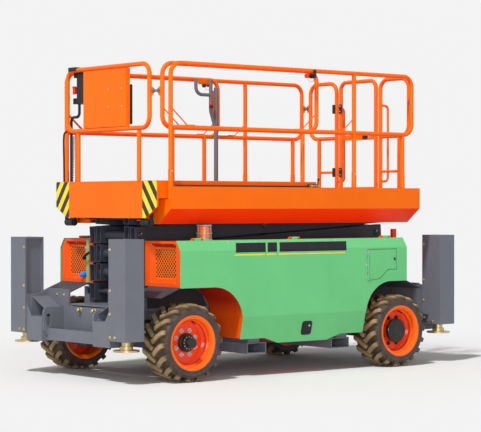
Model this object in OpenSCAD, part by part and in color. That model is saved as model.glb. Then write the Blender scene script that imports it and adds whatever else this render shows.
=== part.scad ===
// Rough-terrain scissor lift: battery chassis with four levelling jacks,
// four scissor stages and a railed platform with a sliding extension.
// Frame: +X forward, +Y left, +Z up, origin on the ground under the middle.

/* [Running gear] */
// Distance between the front and the rear axle
wheelbase = 2312; // [2200:1:2400]
// How far the middle of the wheelbase lies ahead of the middle of the part
axle_shift = 60; // [40:1:80]
// Tyre radius at the lug tips
tyre_r = 318; // [306:1:326]
// Tyre width
tyre_w = 310; // [290:1:316]
// Height of the lugs
lug_h = 28; // [22:1:32]
// Width of the lugs
lug_w = 40; // [32:1:46]
// Number of lugs in each of the two rows
lugs = 18; // [16:1:20]
// Distance between the left and the right tyre middles
track = 1530; // [1510:1:1560]
// Outer radius of the rim flanges
rim_r = 226; // [220:1:236]
// Depth of the rim's disc inside the outer flange
dish = 106; // [90:1:115]
// Distance of each kingpin inside its tyre's middle
kingpin_in = 125; // [118:1:130]
// Length of the steering arms behind the kingpins
steer_arm = 200; // [190:1:215]

/* [Chassis] */
// Gap between the front tyres and the front jacks
jack_gap = 123; // [110:1:150]
// Height of the frame beams over the axles
beam_h = 120; // [110:1:130]
// Underside of the frame beams over the axle middle
beam_rise = 162; // [155:1:170]
// Depth of the frame beams between the axles
belly_h = 320; // [310:1:330]
// Outer face of the frame beams
beam_y = 335; // [330:1:340]
// Width of the fork pockets
pocket_w = 190; // [170:1:210]
// Distance between the two fork pockets
pocket_gap = 940; // [900:1:980]

/* [Levelling jacks] */
// Depth of each jack housing along the part
jack_d = 185; // [175:1:190]
// Width of each jack housing
jack_w = 228; // [215:1:240]
// How far the jacks' outer faces lie inside the covers
jack_in = 30; // [25:1:40]
// Height of each jack housing
jack_h = 813; // [780:1:840]
// Underside of the jack housings over the axle middle
jack_rise = 29; // [20:1:40]
// Radius of the jack legs
leg_r = 40; // [34:1:46]
// Radius of the foot pads
pad_r = 106; // [95:1:115]

/* [Side compartments] */
// How far the side covers reach ahead of the front axle
cover_nose = 101; // [85:1:115]
// How far the side covers reach behind the rear axle
cover_tail = 114; // [100:1:130]
// How far the side covers' faces lie outside the tyre middles
cover_out = 110; // [104:1:116]
// Height of the side covers
cover_h = 825; // [810:1:835]
// Drop of the covers' underside between the fork pockets
cover_dip = 47; // [30:1:55]
// Radius of the wheel arches
arch_r = 300; // [285:1:310]
// Room over the tyres in the wheel arches
arch_gap = 124; // [115:1:140]
// Room behind the front tyres, which they need to steer
steer_room = 233; // [225:1:250]
// Room ahead of the rear tyres
rear_room = 64; // [55:1:80]
// Inner wall of the side compartments, outside the frame beams
tray_gap = 95; // [93:1:105]
// Sheet thickness of covers and compartments
sheet = 6; // [5:0.5:7]

/* [Scissor stack] */
// Distance of the rear pins from the rear end of the frame beams
pin_back = 255; // [245:1:265]
// Distance of the front pins from the front end of the frame beams
pin_ahead = 285; // [275:1:300]
// Height of the arm tubes
arm_h = 145; // [130:1:150]
// Width of the arm tubes
arm_w = 70; // [60:1:74]
// Wall of the arm tubes
arm_wall = 6; // [5:0.5:8]
// Height of one folded stage
stage_h = 160; // [158:0.5:164]
// Height of the lowest pins over the frame beams
pin_rise = 100; // [98:1:104]
// Inner face of the inner arms
inner_y = 170; // [165:1:175]
// Gap between inner and outer arms, and beside the rollers
arm_gap = 20; // [16:1:24]
// Radius of the pins
pin_r = 22; // [20:0.5:24]
// Radius of the end rollers
roller_r = 30; // [28:0.5:32]

/* [Platform] */
// How far the main deck reaches ahead of the front pins
deck_nose = 37; // [30:1:50]
// How far the main deck reaches behind the rear pins
deck_tail = 115; // [110:1:130]
// Half the width of the main deck
deck_y = 785; // [780:1:790]
// Height of the floor over the top pins
deck_h = 140; // [135:1:150]
// Height of the main deck's side panels over the floor
toe_h = 103; // [95:1:115]
// How far the extension's panel stands ahead of the main deck
ext_nose = 103; // [95:1:115]
// Length of the extension
ext_len = 1725; // [1700:1:1750]
// How far the extension's front panel is narrower on each side
ext_in = 50; // [45:1:55]

/* [Guard rails] */
// Radius of the rail tubes
rail_r = 19; // [17:0.5:20]
// Radius of the bends in the rails
rail_bend = 95; // [70:1:110]
// Height of the upper rails over the floor
rail_h = 1105; // [1100:1:1140]
// Height of the lower rails over the floor
rail_mid = 583; // [560:1:610]
// Distance of the main rails inside the deck's sides
rail_in = 30; // [28:1:33]
// Distance of the extension's rails inside its front panel's sides
ext_rail_in = 45; // [43:1:49]
// Half the width of the gate
gate_y = 240; // [230:1:245]

/* [Clearances] */
// Gap round pins and rods
run = 0.4; // [0.3:0.05:0.6]
// Gap between a piece and its seat
seat = 0.3; // [0.2:0.05:0.4]
// Gap between moving pieces
gap = 6; // [5:0.5:7]

/* [Hidden] */
$fn = 48;
front_x = axle_shift + wheelbase / 2;
rear_x = axle_shift - wheelbase / 2;
wheel_y = track / 2;
hub_r = 76;
lug_slant = 38;
lug_reach = tan(lug_slant) * tyre_w / 4;
lug_lead = 8;
lug_edge = lug_reach - lug_lead * sin(lug_slant) + lug_w / 2 * cos(lug_slant);
lug_top = sqrt(pow(tyre_r, 2) - pow(lug_edge, 2));
lug_turn = asin(lug_edge / tyre_r);
kingpin_y = wheel_y - kingpin_in;
half_len = front_x + tyre_r + jack_gap + jack_d;
frame_end = half_len - jack_d - 57;
frame_neck = tyre_r + beam_rise;
frame_top = frame_neck + beam_h;
frame_low = frame_top - belly_h;
cover_y = wheel_y + cover_out;
jack_y = cover_y - jack_in - jack_w / 2;
jack_low = tyre_r + jack_rise;
jack_top = jack_low + jack_h;
jack_x = half_len - jack_d / 2;
pad_z = jack_low - 83;
lug_y = jack_y - jack_w / 2 - 237;
ladder_y = lug_y - 115;
cover_front = front_x + cover_nose;
cover_rear = rear_x - cover_tail;
cover_low = frame_low + 38;
cover_top = cover_low + cover_h;
arch_top = 2 * tyre_r + arch_gap;
arch_z = arch_top - arch_r;
arch_fx = front_x - tyre_r - steer_room + arch_r;
arch_rx = rear_x + tyre_r + rear_room - arch_r;
tray_in = beam_y + tray_gap;
grille_in = 34;
grille_y0 = tray_in + 50;
grille_y1 = cover_y - 100;
grille_z0 = arch_top + 68;
grille_z1 = cover_top - 56;
hole_r = 6.5;
hole_edge = 18;
hole_pitch = 34;
hole_rise = 18;
hinge_y = cover_y - 63;
hinge_z = cover_top + 10;
door_x0 = cover_rear + 467;
door_x1 = cover_rear + 128;
pocket_mid = axle_shift - 85;
dip_x = pocket_gap / 2 - 45;
pin_x = pin_back - frame_end;
arm_l = 2 * frame_end - pin_back - pin_ahead;
theta = asin(stage_h / arm_l);
span = arm_l * cos(theta);
pin_front = pin_x + span;
mid_x = pin_x + span / 2;
base_z = frame_top + pin_rise;
deck_z = base_z + 4 * stage_h;
overhang = 65;
outer_y = inner_y + arm_w + arm_gap;
outer_end = outer_y + arm_w;
slide_in = outer_end + arm_gap;
slide_out = slide_in + 70;
slide_x = pin_x + 0.483 * arm_l;
ram_low_s = 0.2906 * arm_l;
ram_top_s = -0.1308 * arm_l;
ram_top_e = 35;
ram_low = [mid_x + ram_low_s * cos(theta), base_z + stage_h / 2 + ram_low_s * sin(theta)];
ram_top = [mid_x + ram_top_s * cos(theta) - ram_top_e * sin(theta),
    base_z + 1.5 * stage_h + ram_top_s * sin(theta) + ram_top_e * cos(theta)];
ram_len = norm(ram_top - ram_low);
ram_tilt = atan2(ram_top[1] - ram_low[1], ram_low[0] - ram_top[0]);
deck_front = pin_front + deck_nose;
deck_rear = pin_x - deck_tail;
floor_z = deck_z + deck_h;
ext_front = deck_front + ext_nose;
ext_rear = ext_front - ext_len;
ext_y = deck_y - ext_in;
ext_floor = floor_z + 6;
ext_top = floor_z + 151;
rail_top = floor_z + rail_h;
rail_low = floor_z + rail_mid;
rail_y = deck_y - rail_in;
ext_rail_y = ext_y - ext_rail_in;
socket_r = rail_r + 2.5;
rail_rear = deck_rear + 75;
post_mid = deck_rear + 780;
post_rear = deck_rear + 190;
front_rail_x = ext_front - 27;
front_rail_y = ext_y - 137;
rear_rail_x = deck_rear + 30;
gate_hinge_y = gate_y + 30;
gate_hinges = [(rail_top + rail_low) / 2 + 6, (rail_low + floor_z) / 2 - 31];
cover_hinges = [cover_front - 217, axle_shift, cover_rear + 210];
orange = [0.93, 0.36, 0.10];
red_orange = [0.86, 0.26, 0.08];
green = [0.40, 0.76, 0.48];
slate = [0.36, 0.37, 0.41];
charcoal = [0.20, 0.20, 0.22];
black = [0.07, 0.07, 0.08];
zinc = [0.72, 0.66, 0.48];
rubber = [0.33, 0.27, 0.22];

function unit(v) = v / norm(v);

// Box between two opposite corners
module block(a, b) {
    translate(a) cube(b - a);
}

// Children and their mirror image on the other side
module pair() {
    children();
    mirror([0, 1, 0]) children();
}

// Outline in x and z, extruded from y0 to y1
module plate_xz(y0, y1) {
    translate([0, y1, 0]) rotate([90, 0, 0]) linear_extrude(y1 - y0) children();
}

// Outline in y and z, extruded from x0 to x1
module plate_yz(x0, x1) {
    translate([x0, 0, 0]) rotate([90, 0, 90]) linear_extrude(x1 - x0) children();
}

// Cylinder along y
module ycyl(r, y0, y1, x, z) {
    translate([x, y1, z]) rotate([90, 0, 0]) cylinder(r = r, h = y1 - y0);
}

// Cylinder along x
module xcyl(r, x0, x1, y, z) {
    translate([x0, y, z]) rotate([0, 90, 0]) cylinder(r = r, h = x1 - x0);
}

// Round bar from a to b
module rod(a, b, r) {
    d = b - a;
    translate(a) rotate([0, acos(d[2] / norm(d)), atan2(d[1], d[0])]) cylinder(r = r, h = norm(d));
}

// Bend at corner p between directions u and v
module bend(p, u, v, r, br) {
    phi = acos(u * v);
    n = unit(cross(u, v));
    w = cross(n, u);
    c = p - u * br * tan(phi / 2) + w * br;
    multmatrix([[-w[0], u[0], n[0], c[0]], [-w[1], u[1], n[1], c[1]], [-w[2], u[2], n[2], c[2]]])
        rotate_extrude(angle = phi) translate([br, 0]) circle(r);
}

// Round tube along a line of points with bent corners
module tube_path(pts, r, br) {
    last = len(pts) - 1;
    for (i = [0 : last - 1]) {
        u = unit(pts[i + 1] - pts[i]);
        t0 = i == 0 ? 0 : br * tan(acos(u * unit(pts[i] - pts[i - 1])) / 2);
        t1 = i == last - 1 ? 0 : br * tan(acos(u * unit(pts[i + 2] - pts[i + 1])) / 2);
        rod(pts[i] + u * t0, pts[i + 1] - u * t1, r);
        if (i < last - 1) {
            bend(pts[i + 1], u, unit(pts[i + 2] - pts[i + 1]), r, br);
        }
    }
}

// Side view of a wheel arch, opening towards d
module arch_2d(cx, r, d) {
    translate([cx, arch_z]) circle(r);
    translate([d > 0 ? cx : cx - 600, -50]) square([600, arch_z + r + 50]);
    translate([cx - (d > 0 ? r : 0), -50]) square([r, arch_z + 50]);
}

// Side view of cover and compartment, drawn in by d
module side_2d(d) {
    difference() {
        polygon([[cover_rear + d, cover_top - d], [cover_front - d, cover_top - d],
            [cover_front - d, cover_low + d], [pocket_mid + dip_x, cover_low + d],
            [pocket_mid + dip_x - 150, cover_low - cover_dip + d],
            [pocket_mid - dip_x + 150, cover_low - cover_dip + d],
            [pocket_mid - dip_x, cover_low + d], [cover_rear + d, cover_low + d]]);
        arch_2d(arch_fx, arch_r + d, 1);
        arch_2d(arch_rx, arch_r + d, -1);
    }
}

// Side view of the control door, grown by d
module door_2d(d) {
    polygon([[door_x0 + d, cover_top - 102 + d], [door_x1 - d, cover_top - 102 + d],
        [door_x1 - d, cover_top - 277 - d], [door_x1 + 100 - d * 0.3, cover_top - 277 - d],
        [door_x1 + 206 - d * 0.3, cover_top - 357 - d], [door_x0 + d, cover_top - 367 - d]]);
}

// Chassis

module chassis_frame() {
    color(slate) difference() {
        union() {
            pair() plate_xz(beam_y - 70, beam_y) polygon([[-frame_end, frame_neck],
                [rear_x + 226, frame_neck], [rear_x + 296, frame_low], [front_x - 356, frame_low],
                [front_x - 286, frame_neck], [frame_end, frame_neck], [frame_end, frame_top],
                [-frame_end, frame_top]]);
            block([-frame_end, -beam_y, frame_top - 12], [frame_end, beam_y, frame_top]);
            block([rear_x + 296, -beam_y, frame_low], [front_x - 356, beam_y, frame_low + 12]);
            for (x = [rear_x + 226, front_x - 316]) {
                block([x - 15, -beam_y, frame_neck], [x + 15, beam_y, frame_top]);
            }
            block([front_x - 90, -beam_y, frame_neck], [front_x + 90, beam_y, frame_top]);
            block([rear_x - 90, -beam_y, frame_neck], [rear_x + 90, beam_y, frame_top]);
            for (s = [1, -1]) {
                fork_pocket(s);
            }
            pair() slide_rail();
            pair() pivot_ear();
            ycyl(pin_r, -outer_y - 20, outer_y + 20, pin_x, base_z);
        }
        for (x = [-pocket_gap / 2, pocket_gap / 2]) {
            translate([pocket_mid + x - pocket_w / 2, -cover_y, frame_low - 82])
                cube([pocket_w, 2 * cover_y, 74]);
        }
    }
}

module fork_pocket(s) {
    x = pocket_mid + s * pocket_gap / 2;
    y = cover_y - 95;
    block([x - pocket_w / 2 - 8, -y, frame_low - 90], [x + pocket_w / 2 + 8, y, frame_low]);
    pair() translate([x + s * 25, tray_in + 10, frame_low - 1])
        block([-60, 0, 0], [60, y - tray_in - 20, cover_low + sheet - frame_low + 1]);
}

// Channel for the end rollers of the lowest stage
module slide_rail() {
    z = base_z;
    plate_yz(slide_x, pin_front + 60) difference() {
        translate([slide_in - 5, z - roller_r - seat - 110]) square([75, 2 * roller_r + 120]);
        translate([slide_in - 10, z - roller_r - seat]) square([74, 2 * roller_r + 2 * seat]);
        translate([slide_in - 10, z - roller_r - 200]) square([10, 92]);
    }
    block([slide_x, beam_y - 10, frame_top - 60], [pin_front + 60, slide_in + 10, frame_top - 20]);
}

module pivot_ear() {
    plate_xz(inner_y + arm_w + 8, inner_y + arm_w + 38) polygon([[pin_x - 60, frame_top - 10],
        [pin_x + 90, frame_top - 10], [pin_x + 40, base_z + 40], [pin_x - 40, base_z + 40]]);
}

module front_frame() {
    color(slate) {
        outrigger_frame();
        pair() xcyl(14, frame_end + 19, frame_end + 52, lug_y - 275, frame_top - 44);
    }
}

module rear_frame() {
    color(slate) mirror([1, 0, 0]) outrigger_frame();
}

// Cross frame that carries the two jacks at one end
module outrigger_frame() {
    x0 = frame_end;
    x1 = half_len;
    z0 = frame_low + 20;
    z1 = frame_top;
    inner = jack_y - jack_w / 2;
    block([x0, -inner, z0], [x0 + 20, inner, z1 - 20]);
    block([x0 + 1, -lug_y, z0], [x1 - 60, lug_y, z0 + 16]);
    block([x1 - 76, -lug_y, z0], [x1 - 60, lug_y, z0 + 100]);
    pair() {
        tie_down();
        side_box(inner);
        plate_xz(inner - 20, inner) polygon([[x0, z1 - 110], [x1 - 50, z1 - 110], [x1 - 50, z1 + 60],
            [x0, z1 + 120]]);
        block([x0, inner - 327, z1 - 30], [x0 + 20, inner, z1 + 120]);
        plate_yz(x1 - 24, x1 - 12) polygon([[inner, z1], [inner, z1 - 106], [inner - 72, z1 - 106]]);
        plate_yz(x0 + 20, x1 - 60) polygon([[inner, z1 + 66], [inner, z1 + 58], [lug_y - 4, z1 - 56],
            [lug_y - 4, z1 - 48]]);
    }
}

// Upright plate with a rounded corner and a lashing slot
module tie_down() {
    x1 = half_len - 20;
    z0 = frame_low + 20;
    z1 = frame_top - 25;
    plate_xz(lug_y - 20, lug_y) difference() {
        union() {
            polygon([[frame_end, z0], [x1 - 70, z0], [x1, z0 + 80], [x1, z1 - 45], [x1 - 45, z1],
                [frame_end, z1]]);
            translate([x1 - 45, z1 - 45]) circle(45);
        }
        lash_slot(x1 - 50, z1 - 135, z1 - 75, 20);
    }
}

// Upright slot with round ends
module lash_slot(x, za, zb, r) {
    translate([x, za]) circle(r);
    translate([x, zb]) circle(r);
    translate([x - r, za]) square([2 * r, zb - za]);
}

// Folded box between a tie-down plate and its jack
module side_box(inner) {
    difference() {
        block([frame_end, lug_y - 1, frame_low + 10], [half_len - 12, inner, frame_top - 105]);
        block([frame_end - 1, lug_y + 6, frame_low + 17], [half_len - 19, inner - 7, frame_top - 112]);
    }
}

module jack_housings() {
    color(slate) for (s = [1, -1]) {
        pair() jack_housing(s);
    }
}

module jack_housing(s) {
    x0 = s * jack_x - jack_d / 2;
    y0 = jack_y - jack_w / 2;
    difference() {
        union() {
            difference() {
                block([x0, y0, jack_low], [x0 + jack_d, y0 + jack_w, jack_top]);
                block([x0 + 8, y0 + 8, jack_low + 20], [x0 + jack_d - 8, y0 + jack_w - 8, jack_top - 10]);
            }
            translate([s * jack_x, jack_y, jack_low + 1])
                cylinder(r = leg_r + 12, h = jack_top - jack_low - 50);
            block([x0 + 4, y0 + 4, frame_top + 72], [x0 + jack_d - 4, y0 + 30, jack_top - 4]);
        }
        translate([s * jack_x, jack_y, jack_low - 1])
            cylinder(r = leg_r + run, h = jack_top - jack_low - 60);
        block([x0 + 16, y0 - 1, frame_top + 80], [x0 + jack_d - 16, y0 + 22, jack_top - 16]);
    }
}

module jack_leg(x, y) {
    color(zinc) translate([x, y, 0]) {
        translate([0, 0, pad_z + 26]) cylinder(r = leg_r, h = jack_h - 113);
        translate([0, 0, pad_z + 14]) cylinder(r = leg_r + 14, h = 30);
        translate([0, 0, pad_z]) cylinder(r = pad_r, h = 14);
    }
}

module front_axle() {
    color(charcoal) {
        difference() {
            union() {
                axle_beam(front_x);
                pair() {
                    block([front_x - 45, kingpin_y - 100, tyre_r - 110],
                        [front_x + 45, kingpin_y + 45, tyre_r - 76]);
                    block([front_x - 45, kingpin_y - 100, tyre_r + 76],
                        [front_x + 45, kingpin_y + 45, tyre_r + 110]);
                    block([front_x - 60, kingpin_y - 100, tyre_r - 110],
                        [front_x + 60, kingpin_y - 80, tyre_r + 110]);
                }
                block([front_x + 60, -60, tyre_r + 40], [front_x + 150, 60, tyre_r + 100]);
                ycyl(28, -160, 160, front_x + 140, tyre_r + 75);
            }
            pair() translate([front_x, kingpin_y, tyre_r - 130]) cylinder(r = pin_r + run, h = 260);
            ycyl(14 + run, -130, 170, front_x + 140, tyre_r + 75);
        }
    }
}

module axle_beam(x) {
    block([x - 70, -(kingpin_y - 90), tyre_r - 70], [x + 70, kingpin_y - 90, tyre_r + 70]);
    block([x - 70, -70, tyre_r], [x + 70, 70, frame_neck]);
}

module rear_axle() {
    color(charcoal) {
        axle_beam(rear_x);
        pair() {
            ycyl(95, kingpin_y - 91, wheel_y - 40, rear_x, tyre_r);
            ycyl(40, wheel_y - 41, wheel_y + 20, rear_x, tyre_r);
        }
    }
}

// Knuckle on its kingpin; the left one also carries the cylinder's lug
module knuckle(left) {
    color(charcoal) translate([front_x, kingpin_y, tyre_r]) {
        block([-55, -50, -74], [55, 50, 74]);
        translate([0, 0, -118]) cylinder(r = pin_r, h = 250);
        ycyl(40, 49, wheel_y - kingpin_y + 20, 0, 0);
        translate([0, 0, 114]) linear_extrude(18) polygon([[30, -30], [30, 30], [-30, 30], [-90, -15],
            [-steer_arm, -45], [-steer_arm - 25, -70], [-steer_arm, -95], [-90, -65], [-30, -30]]);
        if (left) {
            translate([0, 0, 114]) linear_extrude(18) polygon([[-20, -30], [-20, 30], [60, 0],
                [165, -50], [190, -72], [165, -95], [60, -60]]);
            translate([-steer_arm, -70, 72]) cylinder(r = 10, h = 60);
        }
    }
}

module knuckle_left() {
    knuckle(true);
}

module knuckle_right() {
    mirror([0, 1, 0]) knuckle(false);
}

module tie_rod() {
    y = kingpin_y - 70;
    x = front_x - steer_arm;
    z = tyre_r + 114 - gap - 16;
    color(zinc) difference() {
        union() {
            ycyl(13, -y, y, x, z);
            pair() translate([x, y, z - 16]) cylinder(r = 22, h = 32);
            translate([x, -y, z]) cylinder(r = 10, h = 16 + gap - seat);
        }
        translate([x, y, z - 40]) cylinder(r = 10 + run, h = 80);
    }
}

module steer_rod() {
    x = front_x + 140;
    z = tyre_r + 75;
    color(zinc) {
        ycyl(14, 30, kingpin_y - 90, x, z);
        difference() {
            translate([x, kingpin_y - 72, z - 15]) cylinder(r = 22, h = 30);
            translate([x, kingpin_y - 72, z - 20]) cylinder(r = 12, h = 40);
        }
    }
}

// Wheels, drawn with the outer side towards +y and then placed

// Carcass with two rows of slanted lugs, set off by half a pitch
module tyre() {
    w = tyre_w / 2;
    base = tyre_r - lug_h;
    color(rubber) {
        rotate([90, 0, 0]) rotate_extrude() polygon([[rim_r - 21, -w + 35], [rim_r, -w + 15],
            [rim_r + 24, -w + 4], [base - 24, -w + 4], [base, -w + 34], [base, w - 34],
            [base - 24, w - 4], [rim_r + 24, w - 4], [rim_r, w - 15], [rim_r - 21, w - 35]]);
        for (i = [0 : lugs - 1]) {
            rotate([0, (i + 0.5) * 360 / lugs + lug_turn, 0]) lug();
            rotate([0, i * 360 / lugs + lug_turn, 0]) mirror([0, 1, 0]) lug();
        }
    }
}

// Lug over the tyre's top, from just past the middle out to the shoulder
module lug() {
    l = (tyre_w / 2 + 6 - lug_w / 2 * sin(lug_slant)) / cos(lug_slant);
    translate([-lug_reach, -6, 0]) rotate([0, 0, -lug_slant]) translate([-lug_w / 2, 0, 0])
        rotate([90, 0, 90]) linear_extrude(lug_w) polygon([[0, lug_top - lug_h - 14],
        [lug_lead, lug_top], [l - 30, lug_top], [l, lug_top - lug_h - 14],
        [l - 6, lug_top - lug_h - 40]]);
}

module rim() {
    w = tyre_w / 2 - 9;
    b = tyre_w / 2 - 15 + seat;
    f = rim_r - 21 - seat;
    color(orange) rotate([-90, 0, 0]) rotate_extrude() polygon([[rim_r - 12, -w], [rim_r, -w],
        [rim_r, -b], [f, -b], [f, b], [rim_r, b], [rim_r, w], [rim_r - 12, w], [rim_r - 28, w - 9],
        [rim_r - 34, w - 22], [rim_r - 34, w - 52], [rim_r - 44, w - 60], [rim_r - 44, w - dish + 16],
        [rim_r - 62, w - dish], [hub_r, w - dish], [hub_r, w - dish - 12], [rim_r - 34, w - dish - 12],
        [rim_r - 34, -w + 22], [rim_r - 28, -w + 9]]);
}

// Rotating hub: a drive cap on the rear wheels, a stub with its ring of screws in front
module hub(cap) {
    d = tyre_w / 2 - 9 - dish;
    color(black) difference() {
        rotate([-90, 0, 0]) rotate_extrude() union() {
            polygon([[0, -20], [hub_r + 24, -20], [hub_r + 24, d - 12 - seat],
                [hub_r - seat, d - 12 - seat], [hub_r - seat, d + 24], [hub_r - 8, d + 32],
                [0, d + 32]]);
            if (cap) {
                polygon([[0, d + 30], [hub_r + 22, d + 30], [hub_r + 29, d + 36], [hub_r + 29, d + 56],
                    [hub_r + 22, d + 62], [0, d + 62]]);
            } else {
                polygon([[0, d + 30], [58, d + 30], [58, d + 48], [40, d + 54], [40, d + 100],
                    [34, d + 106], [0, d + 106]]);
            }
        }
        ycyl(40 + run, -21, 28, 0, 0);
    }
}

module at_wheel(x, s) {
    if (s > 0) {
        translate([x, wheel_y, tyre_r]) children();
    } else {
        mirror([0, 1, 0]) translate([x, wheel_y, tyre_r]) children();
    }
}

module tyre_fl() { at_wheel(front_x, 1) tyre(); }
module tyre_fr() { at_wheel(front_x, -1) tyre(); }
module tyre_rl() { at_wheel(rear_x, 1) tyre(); }
module tyre_rr() { at_wheel(rear_x, -1) tyre(); }
module rim_fl() { at_wheel(front_x, 1) rim(); }
module rim_fr() { at_wheel(front_x, -1) rim(); }
module rim_rl() { at_wheel(rear_x, 1) rim(); }
module rim_rr() { at_wheel(rear_x, -1) rim(); }
module hub_fl() { at_wheel(front_x, 1) hub(false); }
module hub_fr() { at_wheel(front_x, -1) hub(false); }
module hub_rl() { at_wheel(rear_x, 1) hub(true); }
module hub_rr() { at_wheel(rear_x, -1) hub(true); }

module jack_leg_fl() { jack_leg(jack_x, jack_y); }
module jack_leg_fr() { jack_leg(jack_x, -jack_y); }
module jack_leg_rl() { jack_leg(-jack_x, jack_y); }
module jack_leg_rr() { jack_leg(-jack_x, -jack_y); }

// Side compartments

module side_trays() {
    color(red_orange) pair() side_tray();
}

module side_tray() {
    x1 = cover_front - sheet;
    difference() {
        union() {
            difference() {
                plate_xz(tray_in, hinge_y - 7) side_2d(sheet);
                plate_xz(tray_in + sheet, hinge_y) side_2d(2 * sheet);
            }
            for (x = [x1 - sheet, cover_rear + sheet]) {
                plate_yz(x, x + sheet) end_2d();
            }
            block([cover_rear + sheet, tray_in - 50, cover_top - 2 * sheet],
                [x1, tray_in + 10, cover_top - sheet]);
            grille_funnel(4);
            for (x = cover_hinges) {
                cover_pin(x);
            }
        }
        grille_funnel(0);
    }
}

// End wall of a compartment, cut off under the cover's fold
module end_2d() {
    polygon([[tray_in - 50, arch_top + sheet], [cover_y - 15, arch_top + sheet],
        [cover_y - 15, cover_top - 88], [hinge_y - 7, cover_top - sheet],
        [tray_in - 50, cover_top - sheet]]);
}

// Tapered mouth that leads in to the front grille, grown by g
module grille_funnel(g) {
    x1 = cover_front - sheet + (g > 0 ? 0 : 1);
    x0 = cover_front - sheet - grille_in;
    f = g > 0 ? 30 : 31;
    intersection() {
        translate([0, 0, grille_z0 - 60]) linear_extrude(grille_z1 - grille_z0 + 120)
            polygon([[x0, grille_y0 - g], [x1, grille_y0 - f - g], [x1, grille_y1 + f + g],
            [x0, grille_y1 + g]]);
        plate_xz(grille_y0 - 60, grille_y1 + 60) polygon([[x0, grille_z0 - g], [x1, grille_z0 - f - g],
            [x1, grille_z1 + f + g], [x0, grille_z1 + g]]);
    }
}

module cover_pin(x) {
    xcyl(5, x - 50, x + 50, hinge_y, hinge_z);
    for (dx = [-56, 36]) {
        xcyl(10, x + dx, x + dx + 20, hinge_y, hinge_z);
        block([x + dx, hinge_y - 22, cover_top - 2 * sheet], [x + dx + 20, hinge_y, hinge_z]);
    }
}

// Perforated panels in the mouths of the front compartments
module front_grilles() {
    x = cover_front - sheet - grille_in - seat;
    rows = floor((grille_z1 - grille_z0 - 2 * hole_edge) / hole_rise);
    columns = floor((grille_y1 - grille_y0 - 2 * hole_edge - hole_pitch / 2) / hole_pitch);
    color(red_orange) pair() plate_yz(x - sheet, x) difference() {
        translate([grille_y0 - 4, grille_z0 - 4])
            square([grille_y1 - grille_y0 + 8, grille_z1 - grille_z0 + 8]);
        for (r = [0 : rows], c = [0 : columns]) {
            translate([grille_y0 + hole_edge + (c + 0.5 * (r % 2)) * hole_pitch,
                grille_z0 + hole_edge + r * hole_rise]) circle(hole_r);
        }
    }
}

module cover_left() {
    color(green) difference() {
        side_cover();
        plate_xz(cover_y - 40, cover_y + 1) door_2d(gap);
    }
    color(green) for (z = [cover_top - 323, cover_top - 183]) {
        door_pin(z);
    }
}

module cover_right() {
    color(green) mirror([0, 1, 0]) side_cover();
}

module side_cover() {
    intersection() {
        plate_yz(cover_rear - 1, cover_front + 1) polygon([[cover_y - 55, cover_top],
            [cover_y, cover_top - 83], [cover_y, cover_low + 190], [cover_y - 63, cover_low - 78],
            [cover_y - 63 - sheet, cover_low - 78], [cover_y - sheet, cover_low + 191],
            [cover_y - sheet, cover_top - 85], [cover_y - 55 - sheet, cover_top]]);
        plate_xz(cover_y - 100, cover_y + 10) side_2d(0);
    }
    for (x = cover_hinges) {
        difference() {
            union() {
                xcyl(10, x - 30, x + 30, hinge_y, hinge_z);
                block([x - 30, hinge_y, cover_top - 8], [x + 30, hinge_y + 10, hinge_z]);
            }
            xcyl(5 + run, x - 31, x + 31, hinge_y, hinge_z);
        }
    }
}

module door_pin(z) {
    translate([door_x0 + gap, cover_y + 6, z - 30]) cylinder(r = 3, h = 60);
    for (dz = [-38, 26]) {
        translate([door_x0 + gap, cover_y + 6, z + dz]) cylinder(r = 6, h = 12);
        block([door_x0 + gap, cover_y - 2, z + dz], [door_x0 + gap + 16, cover_y + 12, z + dz + 12]);
    }
}

module control_door() {
    color(green) {
        plate_xz(cover_y - sheet, cover_y) door_2d(0);
        for (z = [cover_top - 323, cover_top - 183]) {
            difference() {
                union() {
                    translate([door_x0 + gap, cover_y + 6, z - 20]) cylinder(r = 6, h = 40);
                    block([door_x0 - 24, cover_y - 1, z - 20], [door_x0 + gap, cover_y + 3, z + 20]);
                }
                translate([door_x0 + gap, cover_y + 6, z - 21]) cylinder(r = 3 + run, h = 42);
            }
        }
    }
}

module mudflaps() {
    color(black) pair() {
        plate_xz(tray_in + 10, cover_y - 15) polygon([[cover_front - 60, arch_top],
            [cover_front - sheet, arch_top + sheet], [cover_front + 10, arch_top],
            [cover_front + 190, arch_top - 70], [cover_front + 187, arch_top - 77],
            [cover_front + 5, arch_top - 6]]);
        plate_xz(tray_in + 10, cover_y - 15) polygon([[cover_rear + 60, arch_top],
            [cover_rear + sheet, arch_top + sheet], [cover_rear - 10, arch_top],
            [cover_rear - 190, arch_top - 70], [cover_rear - 187, arch_top - 77],
            [cover_rear - 5, arch_top - 6]]);
    }
}

module battery_packs() {
    color(charcoal) pair() block([arch_rx + arch_r + 74, tray_in + 20, cover_low + 2 * sheet],
        [arch_fx - arch_r - 65, hinge_y - 20, arch_top - 30]);
}

// Foot of the beacon with its wire cage
module beacon_base() {
    color(charcoal) translate([front_x - 275, hinge_y - 112, cover_top - sheet]) {
        cylinder(r = 70, h = 14);
        cylinder(r = 50, h = 30);
        for (z = [62, 128]) {
            translate([0, 0, z]) rotate_extrude() translate([64, 0]) circle(3.5, $fn = 6);
        }
        for (a = [0 : 60 : 300]) {
            rotate(a) translate([64, 0, 10]) rotate([0, -3, 0]) cylinder(r = 3, h = 125, $fn = 6);
        }
    }
}

module beacon_lens() {
    color([0.95, 0.55, 0.1]) translate([front_x - 275, hinge_y - 112, cover_top - sheet + 30])
        rotate_extrude() polygon([[0, 0], [50, 0], [50, 8], [46, 12], [44, 84], [36, 96], [0, 100]]);
}

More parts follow.
